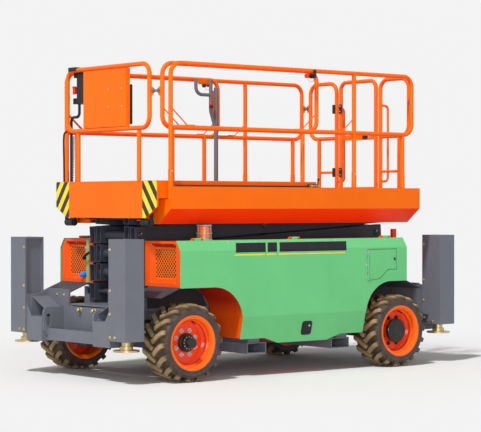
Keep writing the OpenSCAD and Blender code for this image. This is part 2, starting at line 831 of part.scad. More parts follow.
module ladder() {
    color(red_orange) {
        x = -frame_end - 44;
        pair() block([x - 24, ladder_y - 30, frame_low + 36], [x + 24, ladder_y, cover_top + 67]);
        for (z = [frame_low + 190 : 270 : cover_top]) {
            block([x - 19, 25 - ladder_y, z], [x + 19, ladder_y - 25, z + 30]);
        }
    }
}

// Scissor stack; each arm is drawn level round its middle pin

module arm_tube(y0) {
    l = arm_l / 2 + overhang;
    difference() {
        block([-l, y0, -arm_h / 2], [l, y0 + arm_w, arm_h / 2]);
        block([-l - 1, y0 + arm_wall, -arm_h / 2 + arm_wall],
            [l + 1, y0 + arm_w - arm_wall, arm_h / 2 - arm_wall]);
    }
}

module inner_arm(stage) {
    e = arm_l / 2;
    o = inner_y + arm_w;
    translate([mid_x, 0, base_z + (stage - 0.5) * stage_h]) rotate([0, -theta, 0]) difference() {
        union() {
            pair() {
                arm_tube(inner_y);
                ycyl(pin_r + 14, inner_y, o, 0, 0);
            }
            ycyl(pin_r + 14, -o, o, -e, 0);
            ycyl(pin_r + 14, -o, o, e, 0);
            if (stage == 1) {
                ram_lug(ram_low_s, 0);
            }
            if (stage == 4) {
                pair() {
                    ycyl(pin_r, o - 1, slide_in + 1, e, 0);
                    ycyl(roller_r, slide_in, slide_out - gap, e, 0);
                }
            }
        }
        ycyl(pin_r + run, -o - 1, o + 1, -e, 0);
        ycyl(pin_r + run, -o - 1, o + 1, 0, 0);
        if (stage < 4) {
            ycyl(pin_r + run, -o - 1, o + 1, e, 0);
        }
    }
}

// Cross shaft for the lift cylinder
module ram_lug(s, e) {
    ycyl(30, -inner_y - 4, inner_y + 4, s, e);
}

module outer_arm(stage) {
    e = arm_l / 2;
    rear = stage == 4 ? slide_in + 40 : outer_end;
    translate([mid_x, 0, base_z + (stage - 0.5) * stage_h]) rotate([0, theta, 0]) {
        pair() {
            arm_tube(outer_y);
            ycyl(pin_r, inner_y - 4, outer_end, 0, 0);
        }
        ycyl(pin_r, -rear, rear, -e, 0);
        ycyl(pin_r, -outer_end, outer_end, e, 0);
        if (stage == 1) {
            pair() {
                ycyl(pin_r, outer_end - 1, slide_in + 1, e, 0);
                ycyl(roller_r, slide_in, slide_out - gap, e, 0);
            }
        }
    }
}

module inner_1() { color(charcoal) inner_arm(1); }
module inner_2() { color(charcoal) inner_arm(2); }
module inner_3() { color(charcoal) inner_arm(3); }
module inner_4() { color(charcoal) inner_arm(4); }
module outer_1() { color(charcoal) outer_arm(1); }
module outer_2() { color(charcoal) outer_arm(2); }
module outer_3() { color(charcoal) outer_arm(3); }
module outer_4() { color(charcoal) outer_arm(4); }

// Lift cylinder, drawn from its lower eye along -x and then tilted

module ram_frame() {
    translate([ram_low[0], 0, ram_low[1]]) rotate([0, ram_tilt, 0]) children();
}

module lift_barrel() {
    color(slate) ram_frame() difference() {
        union() {
            ycyl(48, -54, 54, 0, 0);
            xcyl(60, -ram_len + 130, -36, 0, 0);
        }
        ycyl(30 + run, -61, 61, 0, 0);
        xcyl(36 + run, -ram_len + 100, -120, 0, 0);
    }
}

module lift_rod() {
    color(zinc) ram_frame() {
        xcyl(36, -ram_len + 30, -180, 0, 0);
        ycyl(48, -54, 54, -ram_len, 0);
        ycyl(30, -inner_y + seat, inner_y - seat, -ram_len, 0);
    }
}

// Platform

module main_deck() {
    color(red_orange) {
        block([deck_rear, -deck_y + 3, floor_z - 5], [deck_front, deck_y - 3, floor_z]);
        pair() {
            plate_yz(deck_rear, deck_front) polygon([[deck_y, floor_z + toe_h], [deck_y, floor_z - 79],
                [deck_y - 160, floor_z - 204], [deck_y - 230, floor_z - 204],
                [deck_y - 230, floor_z - 198], [deck_y - 162, floor_z - 198],
                [deck_y - 6, floor_z - 76], [deck_y - 6, floor_z + toe_h]]);
            plate_yz(slide_x, pin_front + 60) difference() {
                translate([slide_in - 5, deck_z - roller_r - seat - 8])
                    square([75, floor_z - deck_z + roller_r + 3]);
                translate([slide_in - 10, deck_z - roller_r - seat])
                    square([74, 2 * roller_r + 2 * seat]);
            }
            plate_yz(deck_front - 6, deck_front) deck_end_2d(6);
            plate_yz(deck_rear, deck_rear + 6) deck_end_2d(deck_y - gate_hinge_y - 50);
            for (x = [deck_rear + 20, slide_x, deck_front - 40]) {
                block([x, slide_out - 5, floor_z - 204], [x + 20, deck_y - 225, floor_z - 5]);
            }
            difference() {
                plate_xz(slide_in - 5, slide_in + 25) polygon([[pin_x - 45, deck_z - 45],
                    [pin_x + 45, deck_z - 45], [pin_x + 110, floor_z - 5], [pin_x - 90, floor_z - 5]]);
                ycyl(pin_r + run, slide_in - 10, slide_in + 60, pin_x, deck_z);
            }
        }
    }
}

// End wall of a side panel and its sloped underside, w wide over the floor
module deck_end_2d(w) {
    polygon([[deck_y - 1, floor_z + toe_h], [deck_y - 1, floor_z - 78], [deck_y - 160, floor_z - 203],
        [deck_y - 229, floor_z - 203], [deck_y - 229, floor_z - 2], [deck_y - w, floor_z - 2],
        [deck_y - w, floor_z + toe_h]]);
}

module main_rails() {
    x1 = deck_front - 20;
    color(orange) pair() {
        tube_path([[x1, rail_y, floor_z], [x1, rail_y, rail_top], [rail_rear, rail_y, rail_top],
            [rail_rear, rail_y, rail_low], [x1, rail_y, rail_low]], rail_r, rail_bend);
        rod([post_mid, rail_y, floor_z], [post_mid, rail_y, rail_top], rail_r);
        rod([post_rear, rail_y, floor_z], [post_rear, rail_y, rail_low], rail_r);
        for (x = [x1, post_mid, post_rear]) {
            translate([x, rail_y, floor_z]) socket();
        }
    }
}

// Foot that a rail post stands in
module socket() {
    cylinder(r = socket_r, h = toe_h + 140);
}

module rear_rails() {
    grab = [gate_hinges[0] + 20, floor_z + 170];
    color(orange) pair() {
        tube_path([[rear_rail_x, gate_hinge_y + 30, floor_z], [rear_rail_x, gate_hinge_y + 30, rail_top],
            [rear_rail_x, rail_y - 80, rail_top], [rear_rail_x, rail_y - 80, rail_low],
            [rear_rail_x, gate_hinge_y + 30, rail_low]], rail_r, rail_bend);
        rod([rear_rail_x, rail_y - 205, floor_z], [rear_rail_x, rail_y - 205, rail_low], rail_r);
        rod([rear_rail_x, gate_hinge_y + 30, gate_hinges[1]],
            [rear_rail_x, rail_y - 205, gate_hinges[1]], 12);
        tube_path([[rear_rail_x, gate_hinge_y + 30, grab[0]],
            [rear_rail_x - 95, gate_hinge_y + 30, grab[0]],
            [rear_rail_x - 95, gate_hinge_y + 30, grab[1]], [rear_rail_x, gate_hinge_y + 30, grab[1]]],
            11, 40);
    }
    color(orange) for (z = gate_hinges) {
        translate([rear_rail_x, -gate_hinge_y, z - 30]) cylinder(r = 5, h = 60);
        for (dz = [-38, 26]) {
            block([rear_rail_x - 7, -gate_hinge_y - 20, z + dz],
                [rear_rail_x + 7, -gate_hinge_y + 5, z + dz + 12]);
        }
    }
}

module gate() {
    color(orange) {
        z0 = floor_z + 40;
        tube_path([[rear_rail_x, 0, z0], [rear_rail_x, -gate_y, z0], [rear_rail_x, -gate_y, rail_top],
            [rear_rail_x, gate_y, rail_top], [rear_rail_x, gate_y, z0], [rear_rail_x, 0, z0]],
            rail_r, 70);
        block([rear_rail_x - 8, -gate_y, rail_low - 25], [rear_rail_x + 8, gate_y, rail_low + 25]);
        block([rear_rail_x - 4, -gate_y, z0 - 10], [rear_rail_x + 4, gate_y, z0 + 80]);
        for (z = gate_hinges) {
            difference() {
                union() {
                    translate([rear_rail_x, -gate_hinge_y, z - 20]) cylinder(r = 10, h = 40);
                    block([rear_rail_x - 6, -gate_hinge_y, z - 20], [rear_rail_x + 6, -gate_y, z + 20]);
                }
                translate([rear_rail_x, -gate_hinge_y, z - 21]) cylinder(r = 5 + run, h = 42);
            }
        }
    }
}

module ext_deck() {
    color(red_orange) {
        block([ext_rear, -ext_rail_y - 28, ext_floor], [ext_front - 5, ext_rail_y + 28, ext_floor + 6]);
        plate_yz(ext_front - 15, ext_front) polygon([[-ext_y, ext_top], [-ext_y, floor_z - 63],
            [-ext_y + 155, floor_z - 156], [ext_y - 155, floor_z - 156], [ext_y, floor_z - 63],
            [ext_y, ext_top]]);
        pair() {
            block([ext_rear, ext_rail_y + 22, ext_floor], [ext_front - 5, ext_rail_y + 28, ext_top]);
            for (x = [ext_rear + 30, ext_front - 850, ext_front - 250]) {
                block([x, ext_rail_y - 110, floor_z + seat], [x + 60, ext_rail_y - 30, ext_floor + 1]);
            }
        }
    }
}

module ext_rollers() {
    color(black) pair() {
        y0 = ext_y - 250;
        z = floor_z - 194;
        ycyl(32, y0 + 15, y0 + 125, ext_front - 32, z);
        for (y = [y0, y0 + 127]) {
            block([ext_front - 45, y, z - 16], [ext_front - 15, y + 10, z + 114]);
        }
        ycyl(10, y0 + 5, y0 + 135, ext_front - 32, z);
    }
}

// Closed loops on both sides and the front loop, each on its own posts
module ext_rails() {
    x0 = ext_rear - 25;
    x1 = ext_front - 88;
    z0 = ext_floor + 6;
    color(orange) {
        pair() {
            tube_path([[x1 - 200, ext_rail_y, rail_low], [x1, ext_rail_y, rail_low],
                [x1, ext_rail_y, rail_top], [x0, ext_rail_y, rail_top], [x0, ext_rail_y, rail_low],
                [x1 - 200, ext_rail_y, rail_low]], rail_r, rail_bend);
            for (x = [x0 + 160, x1 - 100]) {
                rod([x, ext_rail_y, z0], [x, ext_rail_y, rail_low], rail_r);
                translate([x, ext_rail_y, z0]) cylinder(r = socket_r, h = toe_h);
            }
        }
        tube_path([[front_rail_x, 0, rail_low], [front_rail_x, front_rail_y, rail_low],
            [front_rail_x, front_rail_y, rail_top], [front_rail_x, -front_rail_y, rail_top],
            [front_rail_x, -front_rail_y, rail_low], [front_rail_x, 0, rail_low]], rail_r, rail_bend);
        pair() rod([front_rail_x - 8, front_rail_y - 155, z0],
            [front_rail_x - 8, front_rail_y - 155, rail_low], rail_r);
    }
}

// Blank folded sheet between the front loop's rails
module sign_panel() {
    t = rail_r + seat;
    x = front_rail_x + 15;
    y0 = 264 - front_rail_y;
    y1 = front_rail_y - 310;
    color(orange) difference() {
        block([x - 41, y0, rail_low + t], [x, y1, rail_top - t]);
        block([x - 42, y0 + 4, rail_low + t + 4], [x - 4, y1 - 4, rail_top - t - 4]);
    }
}

// Control box on its hook over the front loop, with a foot for the cable
module control_box() {
    x = front_rail_x - 22;
    y = 38 - front_rail_y;
    z = rail_top + rail_r + seat;
    color(black) {
        plate_xz(y + 70, y + 225) polygon([[x - 105, rail_top - 270], [x, rail_top - 285],
            [x, rail_top - 30], [x - 60, rail_top - 30], [x - 105, rail_top - 90]]);
        block([x - 95, y, rail_top - 285], [x - 10, y + 225, rail_top - 235]);
        block([x - 40, y + 10, rail_top - 60], [x - 10, y + 120, z + 6]);
        block([x - 40, y + 10, z], [x + 48, y + 120, z + 6]);
        block([x + 42, y + 10, rail_top - 10], [x + 48, y + 120, z + 6]);
        translate([x - 70, y + 150, rail_top - 50]) rotate([0, -35, 0]) cylinder(r = 24, h = 12);
        translate([x - 70, y + 150, rail_top - 50]) rotate([0, -35, 0]) cylinder(r = 8, h = 70);
    }
}

module control_cable() {
    x = front_rail_x - 70;
    y0 = 78 - front_rail_y;
    y1 = 45 - ext_rail_y;
    z = rail_top - 285;
    color(black) tube_path([[x, y0, z], [x, y0, z - 110], [x, y1, z - 110], [x, y1, ext_floor + 6]],
        12, 40);
}

// Stand with a kinked bar and a loop, for pushing the extension out
module push_handle() {
    x = ext_rear + 35;
    y = 50 - ext_rail_y;
    z = rail_top;
    color([0.6, 0.62, 0.64]) {
        rod([x, y, ext_floor + 6], [x, y, z - 70], 20);
        rod([x, y, z - 470], [x + 62, y, z - 290], 14);
        rod([x + 62, y, z - 318], [x + 62, y, z], 17);
        rod([x + 62, y, z - 142], [x + 235, y, z - 142], 15);
        rod([x + 235, y, z - 158], [x + 235, y, z], 16);
    }
}

chassis_frame();
front_frame();
rear_frame();
jack_housings();
front_axle();
rear_axle();
side_trays();
front_grilles();
mudflaps();
battery_packs();
beacon_base();
beacon_lens();
ladder();
cover_left();
cover_right();
control_door();
knuckle_left();
knuckle_right();
tie_rod();
steer_rod();
tyre_fl();
tyre_fr();
tyre_rl();
tyre_rr();
rim_fl();
rim_fr();
rim_rl();
rim_rr();
hub_fl();
hub_fr();
hub_rl();
hub_rr();
jack_leg_fl();
jack_leg_fr();
jack_leg_rl();
jack_leg_rr();
inner_1();
outer_1();
inner_2();
outer_2();
inner_3();
outer_3();
inner_4();
outer_4();
lift_barrel();
lift_rod();
main_deck();
main_rails();
rear_rails();
gate();
ext_deck();
ext_rollers();
ext_rails();
sign_panel();
control_box();
control_cable();
push_handle();
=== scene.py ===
import math
import bpy
import bmesh
from mathutils import Matrix, Vector


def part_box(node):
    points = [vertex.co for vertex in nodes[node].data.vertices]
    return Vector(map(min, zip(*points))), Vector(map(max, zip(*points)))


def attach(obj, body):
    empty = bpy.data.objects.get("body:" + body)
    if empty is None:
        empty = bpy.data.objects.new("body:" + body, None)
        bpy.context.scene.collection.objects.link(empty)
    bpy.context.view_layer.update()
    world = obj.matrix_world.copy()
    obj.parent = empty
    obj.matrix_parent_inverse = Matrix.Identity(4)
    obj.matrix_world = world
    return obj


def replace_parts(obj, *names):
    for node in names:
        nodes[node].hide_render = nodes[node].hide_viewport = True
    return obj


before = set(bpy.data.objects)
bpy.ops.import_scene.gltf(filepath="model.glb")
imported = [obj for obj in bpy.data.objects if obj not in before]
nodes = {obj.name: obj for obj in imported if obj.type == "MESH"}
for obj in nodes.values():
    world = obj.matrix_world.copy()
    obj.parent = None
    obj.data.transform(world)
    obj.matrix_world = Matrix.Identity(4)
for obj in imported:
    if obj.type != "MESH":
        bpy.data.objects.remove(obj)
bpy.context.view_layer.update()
scene = bpy.context.scene

WHEELS = ("fl", "fr", "rl", "rr")
SIDES = ((1, "left"), (-1, "right"))
BOTH = (1, -1)
X, Y, Z = (1, 0, 0), (0, 1, 0), (0, 0, 1)

# Sizes of the solids, in metres

RAIL_R = 0.019
SOCKET_R = 0.0215
RAIL_DROP = 0.522  # from the top rail to the middle rail
FOLD_H, FOLD_IN = 0.083, 0.055  # height and depth of the fold along a cover's top edge
SLOPE_H, SLOPE_IN = 0.268, 0.063  # height and depth of the slope below a cover's crease
ARCH_R = 0.300
GRILLE_IN = 0.480  # from the middle plane to a grille's inner edge
GUARD_Y = 0.4262  # from the middle plane to a wheel arch's splash sheet
JACK_DEPTH = 0.185
JACK_ROW = 0.634  # from the middle plane to the bolts on a jack's face
PIN_END, PIN_RISE = 0.066, 0.080  # an end pin from its arm's end, and from the arm's mid height
ARM_FACE = 0.3301  # from the middle plane to an outer arm's face
REAR_Y = 0.675  # from the middle plane to a rear rail's end post

# Places in metres, read from the frame

rail_lo, rail_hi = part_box("main_rails")
rail_y = rail_hi.y - SOCKET_R
rail_top = rail_hi.z - RAIL_R
rail_mid = rail_top - RAIL_DROP
post_front = rail_hi.x - SOCKET_R
rail_end = rail_lo.x + RAIL_R
post_mid = rail_end + 0.705
post_rear = rail_end + 0.115
clip_z = rail_top - 0.225

loop_lo, loop_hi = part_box("ext_rails")
loop_y = loop_hi.y - SOCKET_R
loop_rear = loop_lo.x + RAIL_R
front_x = loop_hi.x - RAIL_R
front_y = loop_y - 0.092
loop_front = front_x - 0.061

deck_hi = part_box("main_deck")[1]
ext_lo, ext_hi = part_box("ext_deck")
floor_z = rail_lo.z
gate_lo, gate_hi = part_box("gate")
gate_x = (gate_lo.x + gate_hi.x) / 2
sign_lo, sign_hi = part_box("sign_panel")
stand_lo, stand_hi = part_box("push_handle")

cover_lo, cover_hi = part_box("cover_right")
cover_y = -cover_lo.y
cover_top = cover_hi.z - 0.020
cover_fold = cover_top - FOLD_H
cover_crease = cover_top - 0.635
grille_lo, grille_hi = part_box("front_grilles")
jack_lo, jack_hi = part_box("jack_housings")
jack_inner = jack_lo.x + JACK_DEPTH
frame_lo, frame_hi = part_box("front_frame")
arch_z = cover_top - 0.683
cover_low = cover_top - 0.825
arch_front = cover_hi.x - 0.352
arch_rear = cover_lo.x + 0.196


# Materials

def lin(r, g, b):
    """8-bit sRGB to a linear colour."""
    def one(c):
        c = c / 255
        return c / 12.92 if c <= 0.04045 else ((c + 0.055) / 1.055) ** 2.4
    return (one(r), one(g), one(b), 1.0)


def scaled(c, k):
    """Lighter or darker tone of a colour."""
    return (min(c[0] * k, 1), min(c[1] * k, 1), min(c[2] * k, 1), 1.0)


class Shader:
    """A node material with short calls for the nodes used here."""

    def __init__(self, name):
        self.mat = bpy.data.materials.new(name)
        self.mat.use_nodes = True
        self.t = self.mat.node_tree
        self.t.nodes.clear()
        self.out = self.add("ShaderNodeOutputMaterial")
        self.bsdf = self.add("ShaderNodeBsdfPrincipled")
        self.join(self.bsdf.outputs["BSDF"], self.out.inputs["Surface"])
        self.co = self.add("ShaderNodeTexCoord").outputs["Object"]

    def add(self, kind, **props):
        n = self.t.nodes.new(kind)
        for k, v in props.items():
            setattr(n, k, v)
        return n

    def join(self, a, b):
        self.t.links.new(a, b)

    def put(self, value, socket):
        """Sets a socket to a plain value, or joins an output to it."""
        if isinstance(value, (tuple, float, int)):
            socket.default_value = value
        else:
            self.join(value, socket)

    def noise(self, scale, detail=4.0, rough=0.55, co=None):
        n = self.add("ShaderNodeTexNoise")
        n.inputs["Scale"].default_value = scale
        n.inputs["Detail"].default_value = detail
        n.inputs["Roughness"].default_value = rough
        self.join(co or self.co, n.inputs["Vector"])
        return n.outputs["Fac"]

    def ramp(self, fac, lo, hi, a=0.0, b=1.0):
        n = self.add("ShaderNodeMapRange")
        n.inputs["From Min"].default_value = lo
        n.inputs["From Max"].default_value = hi
        n.inputs["To Min"].default_value = a
        n.inputs["To Max"].default_value = b
        self.join(fac, n.inputs["Value"])
        return n.outputs["Result"]

    def mix(self, fac, a, b):
        n = self.add("ShaderNodeMix", data_type="RGBA")
        # Its colour sockets are 6 and 7, and 2 on the way out
        for value, i in ((fac, 0), (a, 6), (b, 7)):
            self.put(value, n.inputs[i])
        return n.outputs[2]

    def math(self, op, a, b=0.0):
        n = self.add("ShaderNodeMath", operation=op)
        self.put(a, n.inputs[0])
        self.put(b, n.inputs[1])
        return n.outputs[0]

    def axis(self, i, co=None):
        n = self.add("ShaderNodeSeparateXYZ")
        self.join(co or self.co, n.inputs[0])
        return n.outputs[i]

    def edges(self, radius, samples=4):
        """Rounded normal, and a mask that is 1 along sharp edges."""
        b = self.add("ShaderNodeBevel", samples=samples)
        b.inputs["Radius"].default_value = radius
        g = self.add("ShaderNodeNewGeometry")
        d = self.add("ShaderNodeVectorMath", operation="DOT_PRODUCT")
        self.join(b.outputs["Normal"], d.inputs[0])
        self.join(g.outputs["Normal"], d.inputs[1])
        return b.outputs["Normal"], self.ramp(d.outputs["Value"], 0.99, 0.80)

    def bump(self, height, strength, dist, normal=None):
        n = self.add("ShaderNodeBump")
        n.inputs["Strength"].default_value = strength
        n.inputs["Distance"].default_value = dist
        self.join(height, n.inputs["Height"])
        if normal is not None:
            self.join(normal, n.inputs["Normal"])
        return n.outputs["Normal"]

    def finish(self, color, rough, normal=None, metal=0.0, coat=0.0):
        for value, key in ((color, "Base Color"), (rough, "Roughness"), (metal, "Metallic"),
                           (coat, "Coat Weight")):
            self.put(value, self.bsdf.inputs[key])
        if normal is not None:
            self.join(normal, self.bsdf.inputs["Normal"])
        return self.mat


DUST = lin(176, 160, 138)
STUD_WAVE = 95.0
STRIPE_PITCH = 0.118
RIB_WAVE = 900.0


def paint(name, color, rough=0.36, wear_and_highlight=0.35, dust=0.0, radius=0.003, coat=0.03, under=None,
          tread=False, dish=None, rub_and_highlight=1.5):
    """Powder coat with orange peel, a cloudy tone and edges lightened by a factor: scuffed paint,
    and on the charcoal paint mostly a painted highlight.

    dust lies low down, the tone for faces that look down is painted shade, tread puts studs on
    floors, and dish gives the painted shade inside a rim with the y of the rim's outer edge.
    """
    s = Shader(name)
    normal, edge = s.edges(radius)
    cloud = s.ramp(s.noise(2.3), 0.3, 0.7)
    col = s.mix(cloud, scaled(color, 0.94), scaled(color, 1.04))
    slope = s.axis(2, s.add("ShaderNodeNewGeometry").outputs["Normal"])
    # Painted shade: faces that look down take the darker, redder tone given for them
    if under:
        col = s.mix(s.ramp(slope, -0.2, -0.6), col, under)
    if dish:
        # Painted shade in a rim's dish: depths behind the rim's outer edge between which the tone
        # changes
        dish_shade, edge_y = dish
        y = s.math("ABSOLUTE", s.axis(1))
        outer = s.ramp(y, edge_y - 0.085, edge_y - 0.030)
        inner = s.ramp(y, edge_y - 0.150, edge_y - 0.180)
        col = s.mix(s.math("MAXIMUM", outer, inner), dish_shade, col)
    if tread:
        x, y = s.axis(0), s.axis(1)
        a = s.math("SINE", s.math("MULTIPLY", s.math("ADD", x, y), STUD_WAVE))
        b = s.math("SINE", s.math("MULTIPLY", s.math("SUBTRACT", x, y), STUD_WAVE))
        studs = s.ramp(s.math("MULTIPLY", a, b), 0.35, 0.6)
        studs = s.math("MULTIPLY", studs, s.ramp(slope, 0.9, 0.95))
        normal = s.bump(studs, 0.6, 0.003, normal)
    # Lighter edges: scuffed paint, and on the charcoal paint mostly a painted highlight
    fleck = s.ramp(s.noise(38.0, 6.0), 0.35, 0.75)
    edge_wear_and_highlight = s.math("MULTIPLY", s.math("MULTIPLY", edge, fleck), wear_and_highlight)
    col = s.mix(edge_wear_and_highlight, col, scaled(color, rub_and_highlight))
    if dust:
        low = s.ramp(s.axis(2), 0.75, 0.15)
        film = s.math("MULTIPLY", low, s.ramp(s.noise(9.0, 6.0), 0.3, 0.8))
        col = s.mix(s.math("MULTIPLY", film, dust), col, DUST)
    r = s.ramp(s.noise(14.0), 0.2, 0.8, rough - 0.06, rough + 0.08)
    s.bsdf.inputs["Specular IOR Level"].default_value = 0.14
    peel = s.noise(420.0, 2.0)
    return s.finish(col, r, s.bump(peel, 0.06, 0.0006, normal), 0.0, coat)


def plastic(name, color, rough=0.5, grain=700.0, radius=0.002):
    """Moulded plastic: fine grain and slightly rubbed edges."""
    s = Shader(name)
    normal, edge = s.edges(radius)
    col = s.mix(s.ramp(s.noise(6.0), 0.3, 0.7), scaled(color, 0.85), scaled(color, 1.15))
    col = s.mix(s.math("MULTIPLY", edge, 0.35), col, scaled(color, 2.2))
    r = s.ramp(s.noise(20.0), 0.2, 0.8, rough - 0.08, rough + 0.08)
    s.bsdf.inputs["Specular IOR Level"].default_value = 0.3
    return s.finish(col, r, s.bump(s.noise(grain, 2.0), 0.15, 0.0004, normal))


def metal(name, color, rough=0.35, streak=(1.0, 1.0, 1.0), radius=0.002):
    """Plated or ground metal with drawn streaks and cloudy plating."""
    s = Shader(name)
    normal, edge = s.edges(radius)
    m = s.add("ShaderNodeMapping")
    m.inputs["Scale"].default_value = streak
    s.join(s.co, m.inputs["Vector"])
    fine = s.noise(60.0, 6.0, 0.6, m.outputs["Vector"])
    col = s.mix(s.ramp(s.noise(9.0), 0.3, 0.7), scaled(color, 0.8), scaled(color, 1.1))
    col = s.mix(s.math("MULTIPLY", edge, 0.5), col, scaled(color, 1.4))
    r = s.ramp(fine, 0.2, 0.8, rough - 0.1, rough + 0.12)
    return s.finish(col, r, s.bump(fine, 0.05, 0.0004, normal), 0.9)


def wheel_rubber(name, mid, radius):
    """Dusty tyre: tan lugs, dark brown grooves and charcoal sidewalls round one wheel's axle."""
    s = Shader(name)
    normal, edge = s.edges(0.004)
    p = s.add("ShaderNodeVectorMath", operation="SUBTRACT")
    s.join(s.co, p.inputs[0])
    p.inputs[1].default_value = mid
    x, z = s.axis(0, p.outputs[0]), s.axis(2, p.outputs[0])
    rad = s.math("SQRT", s.math("ADD", s.math("MULTIPLY", x, x), s.math("MULTIPLY", z, z)))
    clump = s.ramp(s.noise(14.0, 6.0), 0.3, 0.7)
    fine = s.noise(160.0, 5.0)
    wall = s.mix(clump, lin(50, 44, 44), lin(72, 64, 62))
    tan = s.mix(clump, lin(122, 98, 68), lin(172, 146, 108))
    groove = s.mix(clump, lin(46, 32, 22), lin(78, 56, 38))
    tread = s.mix(s.ramp(rad, radius - 0.026, radius - 0.006), groove, tan)
    col = s.mix(s.ramp(rad, radius - 0.058, radius - 0.044), wall, tread)
    col = s.mix(s.math("MULTIPLY", edge, 0.3), col, lin(184, 160, 120))
    r = s.ramp(fine, 0.2, 0.8, 0.42, 0.8)
    return s.finish(col, r, s.bump(fine, 0.3, 0.0015, normal))


def stripes(name, slope):
    """Diagonal yellow and black hazard stripes."""
    s = Shader(name)
    run = s.math("ADD", s.axis(1), s.math("MULTIPLY", s.axis(2), slope))
    saw = s.math("FRACT", s.math("DIVIDE", run, STRIPE_PITCH))
    band = s.math("GREATER_THAN", saw, 0.5)
    tone = s.ramp(s.noise(12.0), 0.3, 0.7)
    yellow = s.mix(tone, lin(246, 214, 20), lin(255, 228, 48))
    col = s.mix(band, yellow, s.mix(tone, lin(22, 22, 24), lin(34, 34, 36)))
    r = s.ramp(s.noise(25.0), 0.2, 0.8, 0.32, 0.48)
    return s.finish(col, r, s.bump(s.noise(300.0, 2.0), 0.05, 0.0004))


def amber(name):
    """Ribbed lens that lets some light through."""
    s = Shader(name)
    col = s.mix(s.ramp(s.noise(30.0), 0.3, 0.7), lin(255, 122, 8), lin(255, 150, 30))
    ribs = s.math("SINE", s.math("MULTIPLY", s.axis(2), RIB_WAVE))
    s.bsdf.inputs["Transmission Weight"].default_value = 0.1
    r = s.ramp(s.noise(40.0), 0.2, 0.8, 0.12, 0.25)
    return s.finish(col, r, s.bump(ribs, 0.3, 0.001), 0.0, 0.5)


# On the four paints below, the tone for faces that look down is painted shade
m_orange = paint("orange_paint", lin(255, 112, 6), 0.34, 0.2, under=lin(246, 78, 6))
m_deck = paint("deck_orange_paint", lin(255, 110, 3), 0.36, 0.2, under=lin(250, 62, 10), tread=True)
m_tray = paint("tray_orange_paint", lin(255, 96, 4), 0.40, 0.2, 0.05, under=lin(200, 40, 14))
# The liner paint is a darker, redder copy of the tray paint: painted shade in the wheel arches
m_liner_shade = paint("liner_painted_shade", lin(252, 88, 4), 0.40, 0.2, 0.05, under=lin(190, 34, 12))
# The darker, redder tone inside the rim's dish is painted shade
m_rim = paint("rim_orange_paint", lin(255, 104, 4), 0.24, 0.3, 0.06, coat=0.3,
              dish=(lin(244, 64, 6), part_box("rim_fl")[1].y))
m_ladder = paint("ladder_orange_paint", lin(244, 74, 22), 0.4, 0.25)
m_green = paint("green_paint", lin(110, 200, 130), 0.36, 0.15, 0.04)
m_slate = paint("slate_paint", lin(110, 113, 123), 0.42, 0.2, 0.08)
# Its strongly lightened edges are mostly painted highlight
m_charcoal = paint("charcoal_paint", lin(64, 66, 76), 0.45, 0.8, 0.06, radius=0.006, rub_and_highlight=3.2)
m_grey = paint("grey_paint", lin(112, 115, 122), 0.4, 0.3)
m_hub = paint("hub_black", lin(34, 34, 36), 0.32, 0.3, 0.05, coat=0.4)
m_black = plastic("black_plastic", lin(30, 30, 32))
m_hose = plastic("hose_rubber", lin(28, 28, 30), 0.55, 900.0)
m_flap = plastic("mudflap_rubber", lin(62, 64, 70), 0.6, 260.0)
m_case = plastic("battery_case", lin(42, 43, 46), 0.6, 300.0)
m_red = plastic("stop_button_red", lin(226, 40, 24), 0.3, 900.0)
m_blue = plastic("plug_blue", lin(50, 140, 244), 0.35, 900.0)
m_film = plastic("black_film", lin(18, 20, 28), 0.55, 500.0)
m_cage = paint("cage_grey", lin(178, 180, 186), 0.3, 0.3)
m_yellow = plastic("yellow_film", lin(248, 216, 60), 0.4, 500.0)
m_zinc = metal("zinc_plate", lin(200, 180, 134), 0.40)
m_steel = metal("bright_steel", lin(196, 198, 200), 0.3, (1.0, 0.1, 1.0))
m_amber = amber("amber_lens")


def give(mat, *names):
    """Gives CAD nodes one material."""
    for n in names:
        slots = nodes[n].data.materials
        slots.clear()
        slots.append(mat)


give(m_orange, "main_rails", "rear_rails", "gate", "ext_rails", "sign_panel", "front_grilles")
give(m_rim, *["rim_" + w for w in WHEELS])
give(m_deck, "main_deck", "ext_deck")
give(m_liner_shade, "side_trays")
give(m_ladder, "ladder")
give(m_green, "cover_left", "cover_right", "control_door")
give(m_slate, "chassis_frame", "front_frame", "rear_frame", "jack_housings", "lift_barrel")
give(m_charcoal, "front_axle", "rear_axle", "knuckle_left", "knuckle_right")
give(m_charcoal, *["%s_%d" % (arm, i) for arm in ("inner", "outer") for i in range(1, 5)])
give(m_case, "battery_packs")
give(m_flap, "mudflaps")
give(m_black, "ext_rollers", "control_box", "control_cable")
give(m_hub, *["hub_" + w for w in WHEELS])
give(m_amber, "beacon_lens")
give(m_grey, "push_handle")
give(m_cage, "beacon_base")
give(m_steel, "tie_rod", "steer_rod", "lift_rod")
give(m_zinc, *["jack_leg_" + w for w in WHEELS])
give(m_hose, *["tyre_" + w for w in WHEELS])


# Mesh helpers

def turned(axis):
    """Rotation that takes +Z to the given axis."""
    return Vector(Z).rotation_difference(Vector(axis).normalized()).to_matrix().to_4x4()


def skin(bm, rings, closed=False):
    """Joins rings of points into a surface, capped unless the rings close on themselves."""
    rings = [[bm.verts.new(p) for p in ring] for ring in rings]
    n = len(rings[0])
    for a, b in zip(rings, rings[1:] + (rings[:1] if closed else [])):
        for i in range(n):
            j = (i + 1) % n
            bm.faces.new((a[i], a[j], b[j], b[i]))
    if not closed:
        bm.faces.new(list(reversed(rings[0])))
        bm.faces.new(rings[-1])


def full_turn(seg):
    return [2 * math.pi * i / seg for i in range(seg)]


def circle(r, h, seg, m):
    return [m @ Vector((r * math.cos(a), r * math.sin(a), h)) for a in full_turn(seg)]


